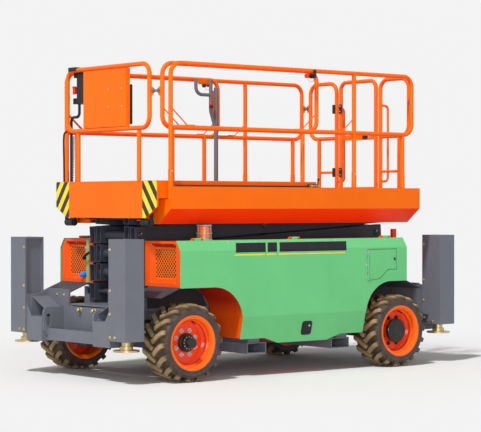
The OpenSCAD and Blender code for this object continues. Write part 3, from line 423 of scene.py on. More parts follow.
def lathe(bm, at, axis, profile, seg=24, closed=False):
    """Revolves (radius, height) pairs round an axis at a point."""
    m = Matrix.Translation(Vector(at)) @ turned(axis)
    skin(bm, [circle(r, h, seg, m) for r, h in profile], closed)


def rod(bm, a, b, r, seg=12):
    d = Vector(b) - Vector(a)
    lathe(bm, a, d, [(r, 0), (r, d.length)], seg)


def bolt(bm, at, axis, r=0.011, washer=True):
    """Hexagon head with a chamfer on a washer."""
    if washer:
        lathe(bm, at, axis, [(r * 1.45, 0), (r * 1.45, r * 0.16), (r * 1.38, r * 0.22)], 18)
    z = r * 0.2 if washer else 0.0
    lathe(bm, at, axis, [(r, z), (r, z + r * 0.6), (r * 0.86, z + r * 0.75)], 6)


def screw(bm, at, axis, r=0.005):
    """Low round head."""
    lathe(bm, at, axis, [(r, 0), (r, r * 0.3), (r * 0.75, r * 0.55), (r * 0.3, r * 0.65)], 12)


def slab(bm, corners, normal, t):
    """Thin plate on the given outline, raised by t along the normal."""
    n = Vector(normal).normalized() * t
    low = [Vector(c) for c in corners]
    skin(bm, [low, [c + n for c in low]])


def plate(bm, at, u, v, w, h, r, t, chamfer=0.0015):
    """Plate with round corners centred on a point: w along u, h along v, t thick along u x v."""
    at, u, v = Vector(at), Vector(u).normalized(), Vector(v).normalized()
    n = u.cross(v)

    def ring(inset, lift):
        points = []
        for k, (sx, sy) in enumerate(((1, 1), (-1, 1), (-1, -1), (1, -1))):
            for j in range(5):
                a = math.radians(90 * k + 22.5 * j)
                x = sx * (w / 2 - r) + (r - inset) * math.cos(a)
                y = sy * (h / 2 - r) + (r - inset) * math.sin(a)
                points.append(at + u * x + v * y + n * lift)
        return points

    skin(bm, [ring(0, 0), ring(0, t - chamfer), ring(chamfer, t)])


def curve(points, steps=8):
    """Smooth line through the points."""
    p = [Vector(q) for q in points]
    p = [2 * p[0] - p[1]] + p + [2 * p[-1] - p[-2]]
    out = []
    for a, b, c, d in zip(p, p[1:], p[2:], p[3:]):
        for i in range(steps):
            t = i / steps
            out.append(0.5 * (2 * b + (c - a) * t + (2 * a - 5 * b + 4 * c - d) * t * t
                              + (3 * b - a - 3 * c + d) * t ** 3))
    return out + [p[-2]]


def bent(points, r, steps=8):
    """Line through the points with its corners rounded to a radius."""
    p = [Vector(q) for q in points]
    out = [p[0]]
    for a, b, c in zip(p, p[1:], p[2:]):
        u, v = (a - b).normalized(), (c - b).normalized()
        half = u.angle(v) / 2
        mid = b + (u + v).normalized() * r / math.sin(half)
        start, end = [(b + d * r / math.tan(half) - mid).normalized() for d in (u, v)]
        out += [mid + start.slerp(end, i / steps) * r for i in range(steps + 1)]
    return out + [p[-1]]


def tube(bm, line, r, seg=10):
    """Round bar along a line."""
    side = Vector((0.31, 0.47, 0.82))
    rings = []
    for i, c in enumerate(line):
        d = (line[min(i + 1, len(line) - 1)] - line[max(i - 1, 0)]).normalized()
        side = (side - d * side.dot(d)).normalized()
        up = d.cross(side)
        rings.append([c + (side * math.cos(a) + up * math.sin(a)) * r for a in full_turn(seg)])
    skin(bm, rings)


def hose(bm, points, r, seg=10):
    """Round hose along a smooth line."""
    tube(bm, curve(points), r, seg)


def piece(name, bm, mat, body, smooth=True, bevel=0.0):
    """Makes an object of the mesh, with one material, that rides on a body."""
    bmesh.ops.recalc_face_normals(bm, faces=bm.faces)
    me = bpy.data.meshes.new(name)
    bm.to_mesh(me)
    bm.free()
    ob = bpy.data.objects.new(name, me)
    scene.collection.objects.link(ob)
    me.materials.append(mat)
    if smooth:
        for p in me.polygons:
            p.use_smooth = True
        me.set_sharp_from_angle(angle=math.radians(35))
    if bevel:
        b = ob.modifiers.new("edge", "BEVEL")
        b.width = bevel
        b.segments = 2
        b.limit_method = "ANGLE"
    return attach(ob, body)


# Wheels

LUGS = 18
LUG_ROOT, LUG_FLARE = 0.046, 0.005  # depth of a lug's foot, and how much wider it is there
# Along a lug: distance from the tyre's middle, turn in degrees, drop of its top, half width
LUG_PATH = ((-0.006, -2.2, 0.014, 0.017), (0.003, -3.3, 0.0, 0.018), (0.052, -10.2, 0.0, 0.018),
            (0.094, -15.6, 0.0, 0.018), (0.120, -17.9, 0.002, 0.019), (0.141, -18.8, 0.011, 0.019),
            (0.1545, -19.1, 0.034, 0.018))
VALVE = ((0.007, 0), (0.007, 0.010), (0.004, 0.014), (0.004, 0.040), (0.005, 0.042),
         (0.005, 0.052), (0.003, 0.054))
DISH_DEPTH = 0.106
NUTS, NUT_R, STUD_OUT = 8, 0.0135, 0.011


def tyre_carcass(bm, mid, radius, half):
    """Tyre without its lugs."""
    base = radius - 0.028
    wall = [(0.205, half - 0.035), (0.226, half - 0.015), (0.229, half - 0.009),
            (0.237, half - 0.006), (0.240, half - 0.009), (0.252, half - 0.006),
            (0.266, half - 0.005), (0.279, half - 0.015), (base, half - 0.034),
            (base + 0.001, 0.03)]
    loop = wall + [(r, -y) for r, y in reversed(wall)]
    lathe(bm, mid, Y, loop, 96, closed=True)


def tyre_lug(bm, mid, radius, side, start):
    """One bent lug, from the tyre's middle over the shoulder on the given side."""
    def point(turn, y, r):
        a = math.radians(start + turn)
        return Vector((mid.x + r * math.sin(a), mid.y + side * y, mid.z + r * math.cos(a)))

    rings = []
    per_degree = math.radians(radius)
    for i, (y, turn, drop, half) in enumerate(LUG_PATH):
        y0, t0 = LUG_PATH[max(i - 1, 0)][:2]
        y1, t1 = LUG_PATH[min(i + 1, len(LUG_PATH) - 1)][:2]
        along = Vector(((t1 - t0) * per_degree, y1 - y0)).normalized()
        across = Vector((along.y / per_degree, -along.x))
        ring = []
        for k, grow, r in ((-1, LUG_FLARE, radius - LUG_ROOT), (-1, 0, radius - drop),
                           (1, 0, radius - drop), (1, LUG_FLARE, radius - LUG_ROOT)):
            w = k * (half + grow)
            inward = 0.012 if grow and y > 0.11 else 0.0
            slant = 0 if y > 0.15 else 1
            ring.append(point(turn + across.x * w, y + across.y * w * slant - inward, r))
        rings.append(ring)
    skin(bm, rings)


def around(mid, r, angle, y):
    """Point at a radius and an angle in degrees round a wheel's axle."""
    a = math.radians(angle)
    return Vector((mid.x + r * math.cos(a), y, mid.z + r * math.sin(a)))


def wheel(w):
    """Lugged tyre in place of the solid, with the nuts, hub details and valve of one wheel."""
    lo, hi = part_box("tyre_" + w)
    mid = (lo + hi) / 2
    radius, half = (hi.z - lo.z) / 2, (hi.y - lo.y) / 2
    s = 1 if mid.y > 0 else -1
    out = (0, s, 0)
    front = w[0] == "f"
    body = "wheel_" + w
    bm = bmesh.new()
    tyre_carcass(bm, mid, radius, half)
    for i in range(LUGS):
        tyre_lug(bm, mid, radius, s, (i + 0.5) * 360 / LUGS)
        tyre_lug(bm, mid, radius, -s, i * 360 / LUGS)
    rubber = wheel_rubber("tyre_rubber_" + w, mid, radius)
    tyre = piece("tyre_tread_" + w, bm, rubber, body, bevel=0.003)
    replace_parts(tyre, "tyre_" + w)

    rim_lo, rim_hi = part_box("rim_" + w)
    dish = mid.y + s * ((rim_hi.y - rim_lo.y) / 2 - DISH_DEPTH)
    hub_lo, hub_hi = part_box("hub_" + w)
    hub_out = hub_hi.y if s > 0 else hub_lo.y

    bm = bmesh.new()
    nut_circle = 0.104 if front else 0.122
    for i in range(NUTS):
        at = around(mid, nut_circle, 22.5 + 45 * i, dish)
        bolt(bm, at, out, NUT_R)
        stud = at + Vector((0, s * STUD_OUT, 0))
        lathe(bm, stud, out, [(0.0075, 0), (0.0075, 0.013), (0.006, 0.015)], 12)
    piece("wheel_nuts_" + w, bm, m_steel if front else m_hub, body)

    bm = bmesh.new()
    if front:
        for i in range(12):
            screw(bm, around(mid, 0.049, 30 * i, hub_out - s * 0.058), out, 0.0055)
        piece("hub_screws_" + w, bm, m_zinc, body)
    else:
        for r in (0.034, 0.056, 0.078):
            ridge = [(r, 0), (r + 0.002, 0.003), (r + 0.008, 0.003), (r + 0.010, 0),
                     (r + 0.005, -0.002)]
            lathe(bm, (mid.x, hub_out, mid.z), out, ridge, 48, True)
        for i in range(6):
            screw(bm, around(mid, 0.093, 60 * i + 15, hub_out), out, 0.005)
        piece("hub_rings_" + w, bm, m_hub, body)

    bm = bmesh.new()
    stem = Vector((mid.x - 0.045, dish + s * 0.030, mid.z + 0.170))
    lathe(bm, stem, (0.1, s, -0.35), VALVE, 12)
    piece("valve_" + w, bm, m_black, body)


for w in WHEELS:
    wheel(w)


# Chassis

def jack_bolts():
    """Bolts on the faces of the jacks and of the front frame's back wall."""
    bm = bmesh.new()
    r = 0.010
    drops = (0.085, 0.412, 0.599)
    for sx, face in ((1, jack_hi.x), (-1, jack_lo.x)):
        for sy in BOTH:
            for drop in drops:
                bolt(bm, (face, sy * JACK_ROW, jack_hi.z - drop), (sx, 0, 0), r)
            for y in (0.638, 0.705):
                bolt(bm, (face, sy * y, jack_lo.z + 0.030), (sx, 0, 0), r)
    for sy in BOTH:
        for drop in drops:
            bolt(bm, (jack_inner, sy * JACK_ROW, jack_hi.z - drop), X, r)
    for y in (0.36, 0.47):
        for s in BOTH:
            bolt(bm, (frame_lo.x + 0.020, s * y, frame_hi.z - 0.048), X, r)
    return bm


def stub_caps():
    """Plated sleeves on the two stub pins of the front frame's back wall."""
    bm = bmesh.new()
    sleeve = [(0.021, 0), (0.021, 0.006), (0.0165, 0.009), (0.0165, 0.032), (0.013, 0.036)]
    for s in BOTH:
        lathe(bm, (frame_lo.x + 0.0205, s * 0.105, frame_hi.z - 0.164), X, sleeve)
    return bm


def jack_leads():
    """Dark plate with a lead to the foot's switch on the inner face of each rear jack."""
    plates, fittings = bmesh.new(), bmesh.new()
    x, z = jack_inner, jack_lo.z
    for s in BOTH:
        corners = [(x, s * 0.619, z + 0.085), (x, s * 0.619, z + 0.026),
                   (x, s * 0.664, z + 0.026), (x, s * 0.704, z + 0.085)]
        slab(plates, corners if s > 0 else corners[::-1], X, 0.008)
        hose(plates, [(x + 0.014, s * 0.660, z + 0.040), (x + 0.018, s * 0.690, z + 0.018),
                      (x + 0.014, s * 0.740, z + 0.022)], 0.0045)
        bolt(fittings, (x + 0.008, s * 0.652, z + 0.056), X, 0.010)
        bolt(fittings, (x, s * 0.745, z + 0.024), X, 0.011)
    piece("jack_lead_plates", plates, m_charcoal, "chassis")
    piece("jack_lead_bolts", fittings, m_zinc, "chassis")


jack_leads()
piece("chassis_bolts", jack_bolts(), m_zinc, "chassis")
piece("stub_caps", stub_caps(), m_zinc, "chassis")


def arm_caps(i):
    """Pin ends with a keeper bolt on the outer faces of one outer arm pair."""
    lo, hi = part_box("outer_%d" % i)
    rear, front = lo.x + PIN_END, hi.x - PIN_END
    mid_z = (lo.z + hi.z) / 2
    pins = [((rear + front) / 2, mid_z)]
    if i < 4:
        pins.append((rear, mid_z + PIN_RISE))
    if i > 1:
        pins.append((front, mid_z - PIN_RISE))
    caps, bolts = bmesh.new(), bmesh.new()
    cap = [(0.030, 0), (0.030, 0.005), (0.026, 0.008), (0.010, 0.008)]
    for x, z in pins:
        for s in BOTH:
            y = s * ARM_FACE
            lathe(caps, (x, y, z), (0, s, 0), cap)
            bolt(bolts, (x, y + s * 0.008, z + 0.016), (0, s, 0), 0.006)
    piece("pin_caps_%d" % i, caps, m_hub, "outer_%d" % i)
    piece("pin_bolts_%d" % i, bolts, m_zinc, "outer_%d" % i)


for i in range(1, 5):
    arm_caps(i)


def front_bay():
    """Charging ports, plug and hose at the right front compartment, and its green edge strip."""
    x, wall = grille_hi.x, cover_hi.x - 0.006
    inner = -0.484
    y = inner - 0.030
    bm = bmesh.new()
    plate(bm, (wall, inner + 0.026, cover_top - 0.202), Y, Z, 0.034, 0.392, 0.004, 0.003)
    piece("bay_strip", bm, m_green, "chassis")
    bm = bmesh.new()
    height = grille_hi.z - grille_lo.z - 0.012
    plate(bm, (x, y, (grille_lo.z + grille_hi.z) / 2), Y, Z, 0.062, height, 0.006, 0.004)
    piece("port_panel", bm, m_tray, "chassis")
    button, upper, lower = [grille_hi.z - drop for drop in (0.028, 0.118, 0.246)]
    bm = bmesh.new()
    for z in (upper, lower):
        ring = [(0.028, 0), (0.028, 0.006), (0.023, 0.007), (0.021, 0.002)]
        lathe(bm, (x + 0.004, y, z), X, ring)
    piece("port_rings", bm, m_ladder, "chassis")
    bm = bmesh.new()
    lathe(bm, (x + 0.004, y, button), X, [(0.014, 0), (0.014, 0.010), (0.010, 0.014)])
    piece("port_button", bm, m_steel, "chassis")
    bm = bmesh.new()
    plug = [(0.020, 0), (0.020, 0.022), (0.024, 0.024), (0.024, 0.040), (0.019, 0.044),
            (0.019, 0.064), (0.014, 0.070)]
    lathe(bm, (x + 0.006, y, lower), (1, -0.1, -0.3), plug)
    piece("port_plug", bm, m_blue, "chassis")
    bm = bmesh.new()
    hose(bm, [(x + 0.006, y, upper), (x + 0.050, inner - 0.020, upper),
              (x + 0.075, inner + 0.040, upper + 0.020), (x + 0.060, inner + 0.105, upper + 0.055),
              (x - 0.010, inner + 0.112, upper + 0.040), (x - 0.090, inner + 0.104, upper - 0.080),
              (x - 0.120, inner + 0.100, 0.745)], 0.011)
    piece("port_hose", bm, m_hose, "chassis")


front_bay()


def grille_screws():
    """Screws round the perforated panels."""
    bm = bmesh.new()
    y0, y1 = GRILLE_IN - 0.008, grille_hi.y + 0.012
    for s in BOTH:
        for y in (y0, (y0 + y1) / 2, y1):
            for z in (grille_lo.z - 0.026, grille_hi.z + 0.020):
                screw(bm, (cover_hi.x - 0.006, s * y, z), X, 0.0045)
    return bm


def grille_hole_shade():
    """Black rings in the holes of the perforated panels: painted shade inside and round each hole.
    """
    bm = bmesh.new()
    lip, margin, pitch, rise = 0.004, 0.018, 0.034, 0.018
    y0, z0 = GRILLE_IN + margin, grille_lo.z + lip + margin
    rows = int((grille_hi.z - lip - margin - z0) / rise + 0.001)
    columns = int((grille_hi.y - lip - margin - pitch / 2 - y0) / pitch + 0.001)
    hole_shade_ring = [(0.0060, -0.006), (0.0060, 0.0008), (0.0085, 0.0008), (0.0085, -0.0004),
              (0.0066, -0.0004), (0.0066, -0.006)]
    for s in BOTH:
        for r in range(rows + 1):
            for c in range(columns + 1):
                y = y0 + (c + 0.5 * (r % 2)) * pitch
                lathe(bm, (grille_hi.x, s * y, z0 + r * rise), X, hole_shade_ring, 12, True)
    return bm


def grille_filters():
    """Black filter mats close behind the perforated panels."""
    bm = bmesh.new()
    y, z = (GRILLE_IN + grille_hi.y) / 2, (grille_lo.z + grille_hi.z) / 2
    w, h = grille_hi.y - GRILLE_IN + 0.010, grille_hi.z - grille_lo.z + 0.004
    for s in BOTH:
        plate(bm, (grille_lo.x - 0.010, s * y, z), Y, Z, w, h, 0.006, 0.008)
    return bm


piece("grille_screws", grille_screws(), m_steel, "chassis")
piece("grille_hole_shade", grille_hole_shade(), m_black, "chassis")
piece("grille_filters", grille_filters(), m_case, "chassis")


def cover_edge(z):
    """Distance of a cover's face from the middle plane at height z."""
    if z > cover_fold:
        return cover_y - FOLD_IN * (z - cover_fold) / (cover_top - cover_fold)
    return cover_y - SLOPE_IN * max(0.0, cover_crease - z) / SLOPE_H


def arch_lip(bm, s, x, d):
    """Strip that carries a wheel arch's liner on to the cover's edge; d points to the open end."""
    r, inner, t = ARCH_R + 0.006, cover_y - 0.0698, 0.003
    far = (cover_hi.x if d > 0 else cover_lo.x) - d * 0.012
    path = [(far, arch_z + r, 0, 1)]
    for i in range(13):
        a = math.radians(90 + d * 7.5 * i)
        path.append((x + r * math.cos(a), arch_z + r * math.sin(a), math.cos(a), math.sin(a)))
    path.append((x - d * r, cover_low + 0.006, -d, 0))
    rings = []
    for px, pz, nx, nz in path:
        outer = cover_edge(pz) - 0.013
        qx, qz = px + nx * t, pz + nz * t
        rings.append([(px, s * inner, pz), (px, s * outer, pz), (qx, s * outer, qz),
                      (qx, s * inner, qz)])
    skin(bm, rings)


def arch_guard(bm, s, x, d, reach, tail):
    """Black splash sheet on the inner side of a wheel arch, with a tail under the mudflap."""
    low, high = 0.12, 0.304
    outline = ((-0.265, low), (reach + tail, low), (reach + tail, high - 0.29 * tail),
               (reach, high), (0, high), (-0.135, 0.273), (-0.215, 0.216))
    corners = [(x + d * u, s * GUARD_Y, arch_z + v) for u, v in outline]
    slab(bm, corners, (0, s, 0), 0.003)


def wheel_arches():
    """Lips and splash sheets of the four wheel arches."""
    lips, guards = bmesh.new(), bmesh.new()
    for s in BOTH:
        for x, d, reach, tail in ((arch_front, 1, 0.335, 0.02), (arch_rear, -1, 0.186, 0.26)):
            arch_lip(lips, s, x, d)
            arch_guard(guards, s, x, d, reach, tail)
    piece("arch_lips", lips, m_tray, "chassis")
    piece("arch_guards", guards, m_case, "chassis", False)


wheel_arches()


# Side covers

def fold_normal(s):
    """Direction that a cover's fold faces."""
    return (0, s * FOLD_H, FOLD_IN)


def cover_band(bm, s, x0, x1, z0, z1, lift=0.0008):
    """Film on a cover that follows the fold under its top edge."""
    cuts = [z0] + ([cover_fold] if z0 < cover_fold < z1 else []) + [z1]
    for a, c in zip(cuts, cuts[1:]):
        n = (0, s, 0) if c <= cover_fold else fold_normal(s)
        y0, y1 = s * cover_edge(a), s * cover_edge(c)
        lean = 0.8 * (cover_y - cover_edge(c))
        slab(bm, [(x0, y0, a), (x1, y0, a), (x1 - lean, y1, c), (x0 - lean, y1, c)], n, lift)


def cover_bands(s, side):
    """Plain dark band with a yellow line below it, where the photograph has lettering."""
    black, yellow = bmesh.new(), bmesh.new()
    for x1, x0 in ((0.747, 0.427), (0.406, 0.303), (0.275, -0.483)):
        cover_band(black, s, x0, x1, cover_top - 0.103, cover_top - 0.025)
        cover_band(yellow, s, x0 + 0.012, x1 + 0.012, cover_top - 0.129, cover_top - 0.118)
    piece("band_" + side, black, m_film, "cover_" + side, False)
    piece("band_line_" + side, yellow, m_yellow, "cover_" + side, False)


def cover_screws(s, side):
    """Row of screws that holds the hinge strip along the top edge."""
    bm = bmesh.new()
    count, margin = 17, 0.075
    z = cover_top - 0.016
    for i in range(count):
        x = cover_hi.x - margin - i * (cover_hi.x - cover_lo.x - 2 * margin) / (count - 1)
        screw(bm, (x, s * cover_edge(z), z), fold_normal(s), 0.0055)
    piece("cover_screws_" + side, bm, m_steel, "cover_" + side)


def cover_latch(s, side):
    """Flush paddle latch with its lock on the lower slope."""
    z = cover_top - 0.757
    up = Vector((0, s * 0.229, 0.973))
    across = Vector((-s, 0, 0))
    out = across.cross(up)
    at = Vector((-0.048, s * cover_edge(z), z))
    body = "cover_" + side
    bm = bmesh.new()
    plate(bm, at, across, up, 0.112, 0.122, 0.024, 0.006)
    plate(bm, at + up * 0.012 + out * 0.006, across, up, 0.084, 0.076, 0.014, 0.004)
    plate(bm, at - up * 0.043 + out * 0.006, across, up, 0.078, 0.016, 0.006, 0.007)
    piece("cover_latch_" + side, bm, m_black, body)
    bm = bmesh.new()
    lock = at + up * 0.022 + across * 0.020 * s + out * 0.010
    lathe(bm, lock, out, [(0.009, 0), (0.009, 0.003), (0.007, 0.004)])
    piece("cover_lock_" + side, bm, m_steel, body)


for s, side in SIDES:
    cover_bands(s, side)
    cover_screws(s, side)
    cover_latch(s, side)


def door_flange(lo, hi):
    """Folded edge of the cover's opening behind the door's gap."""
    right, top, low = hi.x - 0.012, hi.z, lo.z

    def ring(d, depth):
        points = [(right + d, top + d), (lo.x - d, top + d), (lo.x - d, top - 0.175 - d),
                  (lo.x + 0.100 - 0.3 * d, top - 0.175 - d),
                  (lo.x + 0.206 - 0.3 * d, top - 0.255 - d), (right + d, low - d)]
        return [(x, cover_y - depth, z) for x, z in points]

    bm = bmesh.new()
    skin(bm, [ring(0.014, 0.0055), ring(0.014, 0.0135), ring(-0.012, 0.0135), ring(-0.012, 0.015),
              ring(0.0155, 0.015), ring(0.0155, 0.0055)], True)
    return bm


def door_fittings():
    """Hinge leaves and pin of the control door, the folded edge behind it, and its lock."""
    lo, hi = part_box("control_door")
    bm = bmesh.new()
    for z in (hi.z - 0.028, (lo.z + hi.z) / 2, lo.z + 0.024):
        plate(bm, (hi.x + 0.010, cover_y - 0.0005, z), (-1, 0, 0), Z, 0.016, 0.018, 0.004, 0.0025)
        screw(bm, (hi.x + 0.014, cover_y + 0.002, z), Y, 0.004)
    rod(bm, (hi.x - 0.006, cover_y + 0.006, lo.z), (hi.x - 0.006, cover_y + 0.006, hi.z), 0.0028)
    piece("door_hinge", bm, m_steel, "cover_left")
    piece("door_flange", door_flange(lo, hi), m_green, "cover_left", False)
    bm = bmesh.new()
    plate(bm, (lo.x + 0.022, cover_y, hi.z - 0.085), (-1, 0, 0), Z, 0.020, 0.026, 0.008, 0.005)
    piece("door_lock", bm, m_black, "control_door")


door_fittings()


# Platform and extension

def brace(bm, post, foot):
    """Thin strut with a flat foot tab."""
    rod(bm, post, foot, 0.0055)
    d = 1 if foot[0] > post[0] else -1
    tab = (foot[0] + d * 0.020, foot[1], foot[2] + RAIL_R - 0.001)
    plate(bm, tab, X, Y, 0.070, 0.018, 0.006, 0.006)


def rail_braces():
    """Struts between the posts and the middle rails."""
    rise, run = 0.165, 0.190
    bm = bmesh.new()
    for s in BOTH:
        y = s * rail_y
        brace(bm, (post_front, y, rail_mid + rise), (post_front - run, y, rail_mid))
        brace(bm, (post_mid, y, rail_mid + 0.130), (post_mid + 0.150, y, rail_mid))
    piece("rail_braces", bm, m_orange, "platform")
    bm = bmesh.new()
    for s in BOTH:
        y = s * loop_y
        brace(bm, (loop_front, y, rail_mid + rise), (loop_front - run, y, rail_mid))
        brace(bm, (loop_rear, y, rail_mid + rise), (loop_rear + run, y, rail_mid))
    piece("loop_braces", bm, m_orange, "extension")


rail_braces()


def post_bolts():
    """Cross bolts through the sockets that the rail posts stand in."""
    bm = bmesh.new()
    face = rail_y + SOCKET_R - 0.001
    for s in BOTH:
        for x in (post_front, post_mid, post_rear):
            for rise in (0.050, 0.225):
                bolt(bm, (x, s * face, floor_z + rise), (0, s, 0), 0.007, False)
    return bm


piece("post_bolts", post_bolts(), m_steel, "platform")


def rail_clip(a, b, body, name):
    """Locking pin between two rail loops, with a lug on each tube."""
    a, b = Vector(a), Vector(b)
    d = (b - a).normalized()
    pin, lugs = bmesh.new(), bmesh.new()
    p, q = a + d * RAIL_R, b - d * RAIL_R
    rod(pin, p, q, 0.010)
    collar = [(0.018, 0), (0.021, 0.002), (0.021, 0.011), (0.014, 0.014), (0.014, 0.020)]
    for end, way in ((p + d * 0.006, d), (q - d * 0.006, -d)):
        lathe(pin, end, way, collar)
    for end in (p, q):
        plate(lugs, end - Vector((0, 0, 0.004)), d, Z, 0.030, 0.076, 0.012, 0.005)
    piece(name, pin, m_grey, body)
    piece(name + "_lug", lugs, m_orange, body)


for s, side in SIDES:
    rail_clip((front_x, s * front_y, clip_z), (loop_front, s * loop_y, clip_z),
              "extension", "front_clip_" + side)
    rail_clip((rail_end, s * rail_y, clip_z), (gate_x, s * REAR_Y, clip_z),
              "platform", "rear_clip_" + side)


def gate_fittings():
    """Black hinge leaves on the gate and its post, and the latch on the gate's band."""
    x = gate_x + RAIL_R - 0.002
    leaf_y, post_y = -0.226, -0.320
    leaves, posts, screws = bmesh.new(), bmesh.new(), bmesh.new()
    for z in (rail_top - 0.245, floor_z + 0.2605):
        plate(leaves, (x, leaf_y, z), Y, Z, 0.036, 0.086, 0.008, 0.008)
        plate(posts, (gate_x + 0.0125, post_y, z), Y, Z, 0.046, 0.086, 0.008, 0.008)
        for dz in (-0.024, 0.024):
            screw(screws, (x + 0.008, leaf_y, z + dz), X, 0.007)
    plate(leaves, (gate_x + 0.008, 0.108, rail_mid), Y, Z, 0.052, 0.030, 0.005, 0.018)
    piece("gate_leaves", leaves, m_black, "gate")
    piece("gate_post_leaves", posts, m_black, "platform")
    piece("gate_screws", screws, m_steel, "gate")
    bm = bmesh.new()
    plate(bm, (gate_x + 0.008, 0.148, rail_mid), Y, Z, 0.022, 0.030, 0.004, 0.006)
    screw(bm, (gate_x + 0.008, 0.176, rail_mid), X, 0.007)
    piece("gate_latch_plate", bm, m_steel, "gate")


gate_fittings()


def slide_lock(s, side):
    """Guide block with a sprung knob where the extension's loop runs along the top rail."""
    x, low = loop_rear + 0.099, rail_top - RAIL_R
    across = (-s, 0, 0)
    bm = bmesh.new()
    face = (x, s * (rail_y + RAIL_R + 0.006), low - 0.006)
    plate(bm, face, across, Z, 0.028, 0.070, 0.006, 0.006)
    bridge = (x, s * (loop_y + rail_y) / 2, low - 0.030)
    plate(bm, bridge, (s, 0, 0), (0, s, 0), 0.030, 0.122, 0.006, 0.010)
    knob = (loop_rear + 0.082, s * (loop_y + 0.024), low - 0.024)
    plate(bm, knob, across, Z, 0.034, 0.036, 0.006, 0.022)
    piece("slide_lock_" + side, bm, m_black, "extension")
    bm = bmesh.new()
    tab = (loop_rear + 0.126, s * (loop_y + 0.018), low - 0.022)
    plate(bm, tab, across, Z, 0.056, 0.036, 0.010, 0.012)
    piece("slide_lock_plate_" + side, bm, m_ladder, "extension")
    bm = bmesh.new()
    wire = [(loop_rear + 0.092 + 0.030 * math.cos(a), s * (loop_y + 0.036),
             low - 0.046 - 0.026 * math.sin(a))
            for a in (math.radians(20 * i) for i in range(10))]
    hose(bm, wire, 0.0022, 6)
    piece("slide_lock_wire_" + side, bm, m_steel, "extension")


for s, side in SIDES:
    slide_lock(s, side)


def stand_fittings():
    """Push handle with its bends, and the bracket and stop button on its stand."""
    x, y = stand_lo.x + 0.020, (stand_lo.y + stand_hi.y) / 2
    kink, far = x + 0.062, x + 0.235
    top = stand_hi.z
    arm = top - 0.142
    height = top - 0.070 - stand_lo.z
    bm = bmesh.new()
    lathe(bm, (x, y, stand_lo.z), Z, [(0.020, 0), (0.020, height - 0.004), (0.016, height)])
    post = [(x, y, top - 0.470), (kink, y, top - 0.290), (kink, y, top)]
    tube(bm, bent(post, 0.120), 0.017, 16)
    grip = [(kink, y, arm), (far, y, arm), (far, y, top)]
    tube(bm, bent(grip, 0.070), 0.016, 16)
    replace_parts(piece("push_handle_tube", bm, m_grey, "extension"), "push_handle")
    bm = bmesh.new()
    plate(bm, (x + 0.100, y - 0.030, top - 0.020), X, Z, 0.170, 0.050, 0.010, 0.006)
    plate(bm, (x + 0.033, y, top - 0.250), X, Z, 0.020, 0.300, 0.004, 0.006)
    piece("stand_bracket", bm, m_orange, "extension")
    tilt = (0.1, 0, 1)
    bm = bmesh.new()
    lathe(bm, (x + 0.074, y + 0.022, top - 0.262), tilt,
          [(0.020, 0), (0.020, 0.020), (0.016, 0.024)])
    lathe(bm, (x + 0.140, y, top - 0.075), Z, [(0.016, 0), (0.016, 0.030), (0.012, 0.034)])
    piece("stand_switch_base", bm, m_black, "extension")
    bm = bmesh.new()
    lathe(bm, (x + 0.076, y + 0.022, top - 0.238), tilt,
          [(0.013, 0), (0.013, 0.006), (0.020, 0.009), (0.020, 0.024), (0.012, 0.029)])
    piece("stand_switch", bm, m_red, "extension")


stand_fittings()


def sign_fittings():
    """Screws of the front sheet and the document case behind it."""
    bm = bmesh.new()
    for y in (0.035, 0.225):
        for drop in (0.167, 0.316):
            screw(bm, (sign_hi.x, y, sign_hi.z - drop), X, 0.006)
    piece("sign_screws", bm, m_steel, "extension")
    bm = bmesh.new()
    case = (sign_lo.x + 0.004, 0.130, sign_hi.z - 0.300)
    plate(bm, case, (0, -1, 0), Z, 0.308, 0.330, 0.010, 0.034)
    piece("document_case", bm, m_black, "extension")


sign_fittings()


def front_cables():
    """Supply cables that hang from the control box to the extension's floor."""
    x, y = loop_front, -loop_y
    top, foot = rail_mid + 0.005, floor_z + 0.030
    bm = bmesh.new()
    hose(bm, [(x + 0.024, y + 0.025, top), (x + 0.036, y - 0.004, top - 0.040),
              (x + 0.034, y - 0.006, top - 0.270), (x + 0.032, y - 0.002, foot + 0.060),
              (x + 0.030, y + 0.020, foot)], 0.008)
    piece("cable_outer", bm, m_hose, "extension")
    bm = bmesh.new()
    line = curve([(x - 0.030, y + 0.050, top - 0.040), (x - 0.032, y + 0.035, top - 0.280),
                  (x - 0.022, y + 0.030, foot)], 40)
    r, turn = 0.009, 1.9
    coil = [p + Vector((r * math.cos(turn * i), r * math.sin(turn * i), 0))
            for i, p in enumerate(line)]
    hose(bm, coil, 0.004, 6)
    piece("cable_coil", bm, m_cage, "extension")


front_cables()


def foot_latch():
    """Foot latch at the extension's rear left corner, on its side wall."""
    at = Vector((ext_lo.x + 0.062, ext_hi.y + 0.001, ext_hi.z - 0.036))
    bm = bmesh.new()
    plate(bm, at, (-1, 0, 0), Z, 0.120, 0.028, 0.006, 0.010)
    lever = [(0.006, 0), (0.006, 0.040), (0.010, 0.042), (0.010, 0.056), (0.007, 0.060)]
    lathe(bm, at + Vector((-0.050, 0.010, 0.008)), (-0.2, 0, 1), lever)
    piece("foot_latch", bm, m_black, "extension")
    bm = bmesh.new()
    rod(bm, at + Vector((-0.072, 0.010, 0)), at + Vector((0.044, 0.010, 0)), 0.007)
    bolt(bm, at + Vector((0.020, 0.014, 0)), Y, 0.008)
    piece("foot_latch_bolt", bm, m_zinc, "extension")


foot_latch()


def stop_button():
    """Stop button on a bracket at the control box's side."""
    lo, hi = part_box("control_box")
    at = Vector(((lo.x + hi.x) / 2, lo.y - 0.020, hi.z - 0.190))
    bm = bmesh.new()
    plate(bm, at + Vector((-0.012, 0.021, 0.0)), Z, X, 0.062, 0.034, 0.008, -0.012)
    lathe(bm, at - Vector((0, 0, 0.034)), Z,
          [(0.013, 0), (0.013, 0.052), (0.017, 0.056), (0.017, 0.066), (0.010, 0.070)])
    piece("box_stop_button", bm, m_red, "extension")


stop_button()


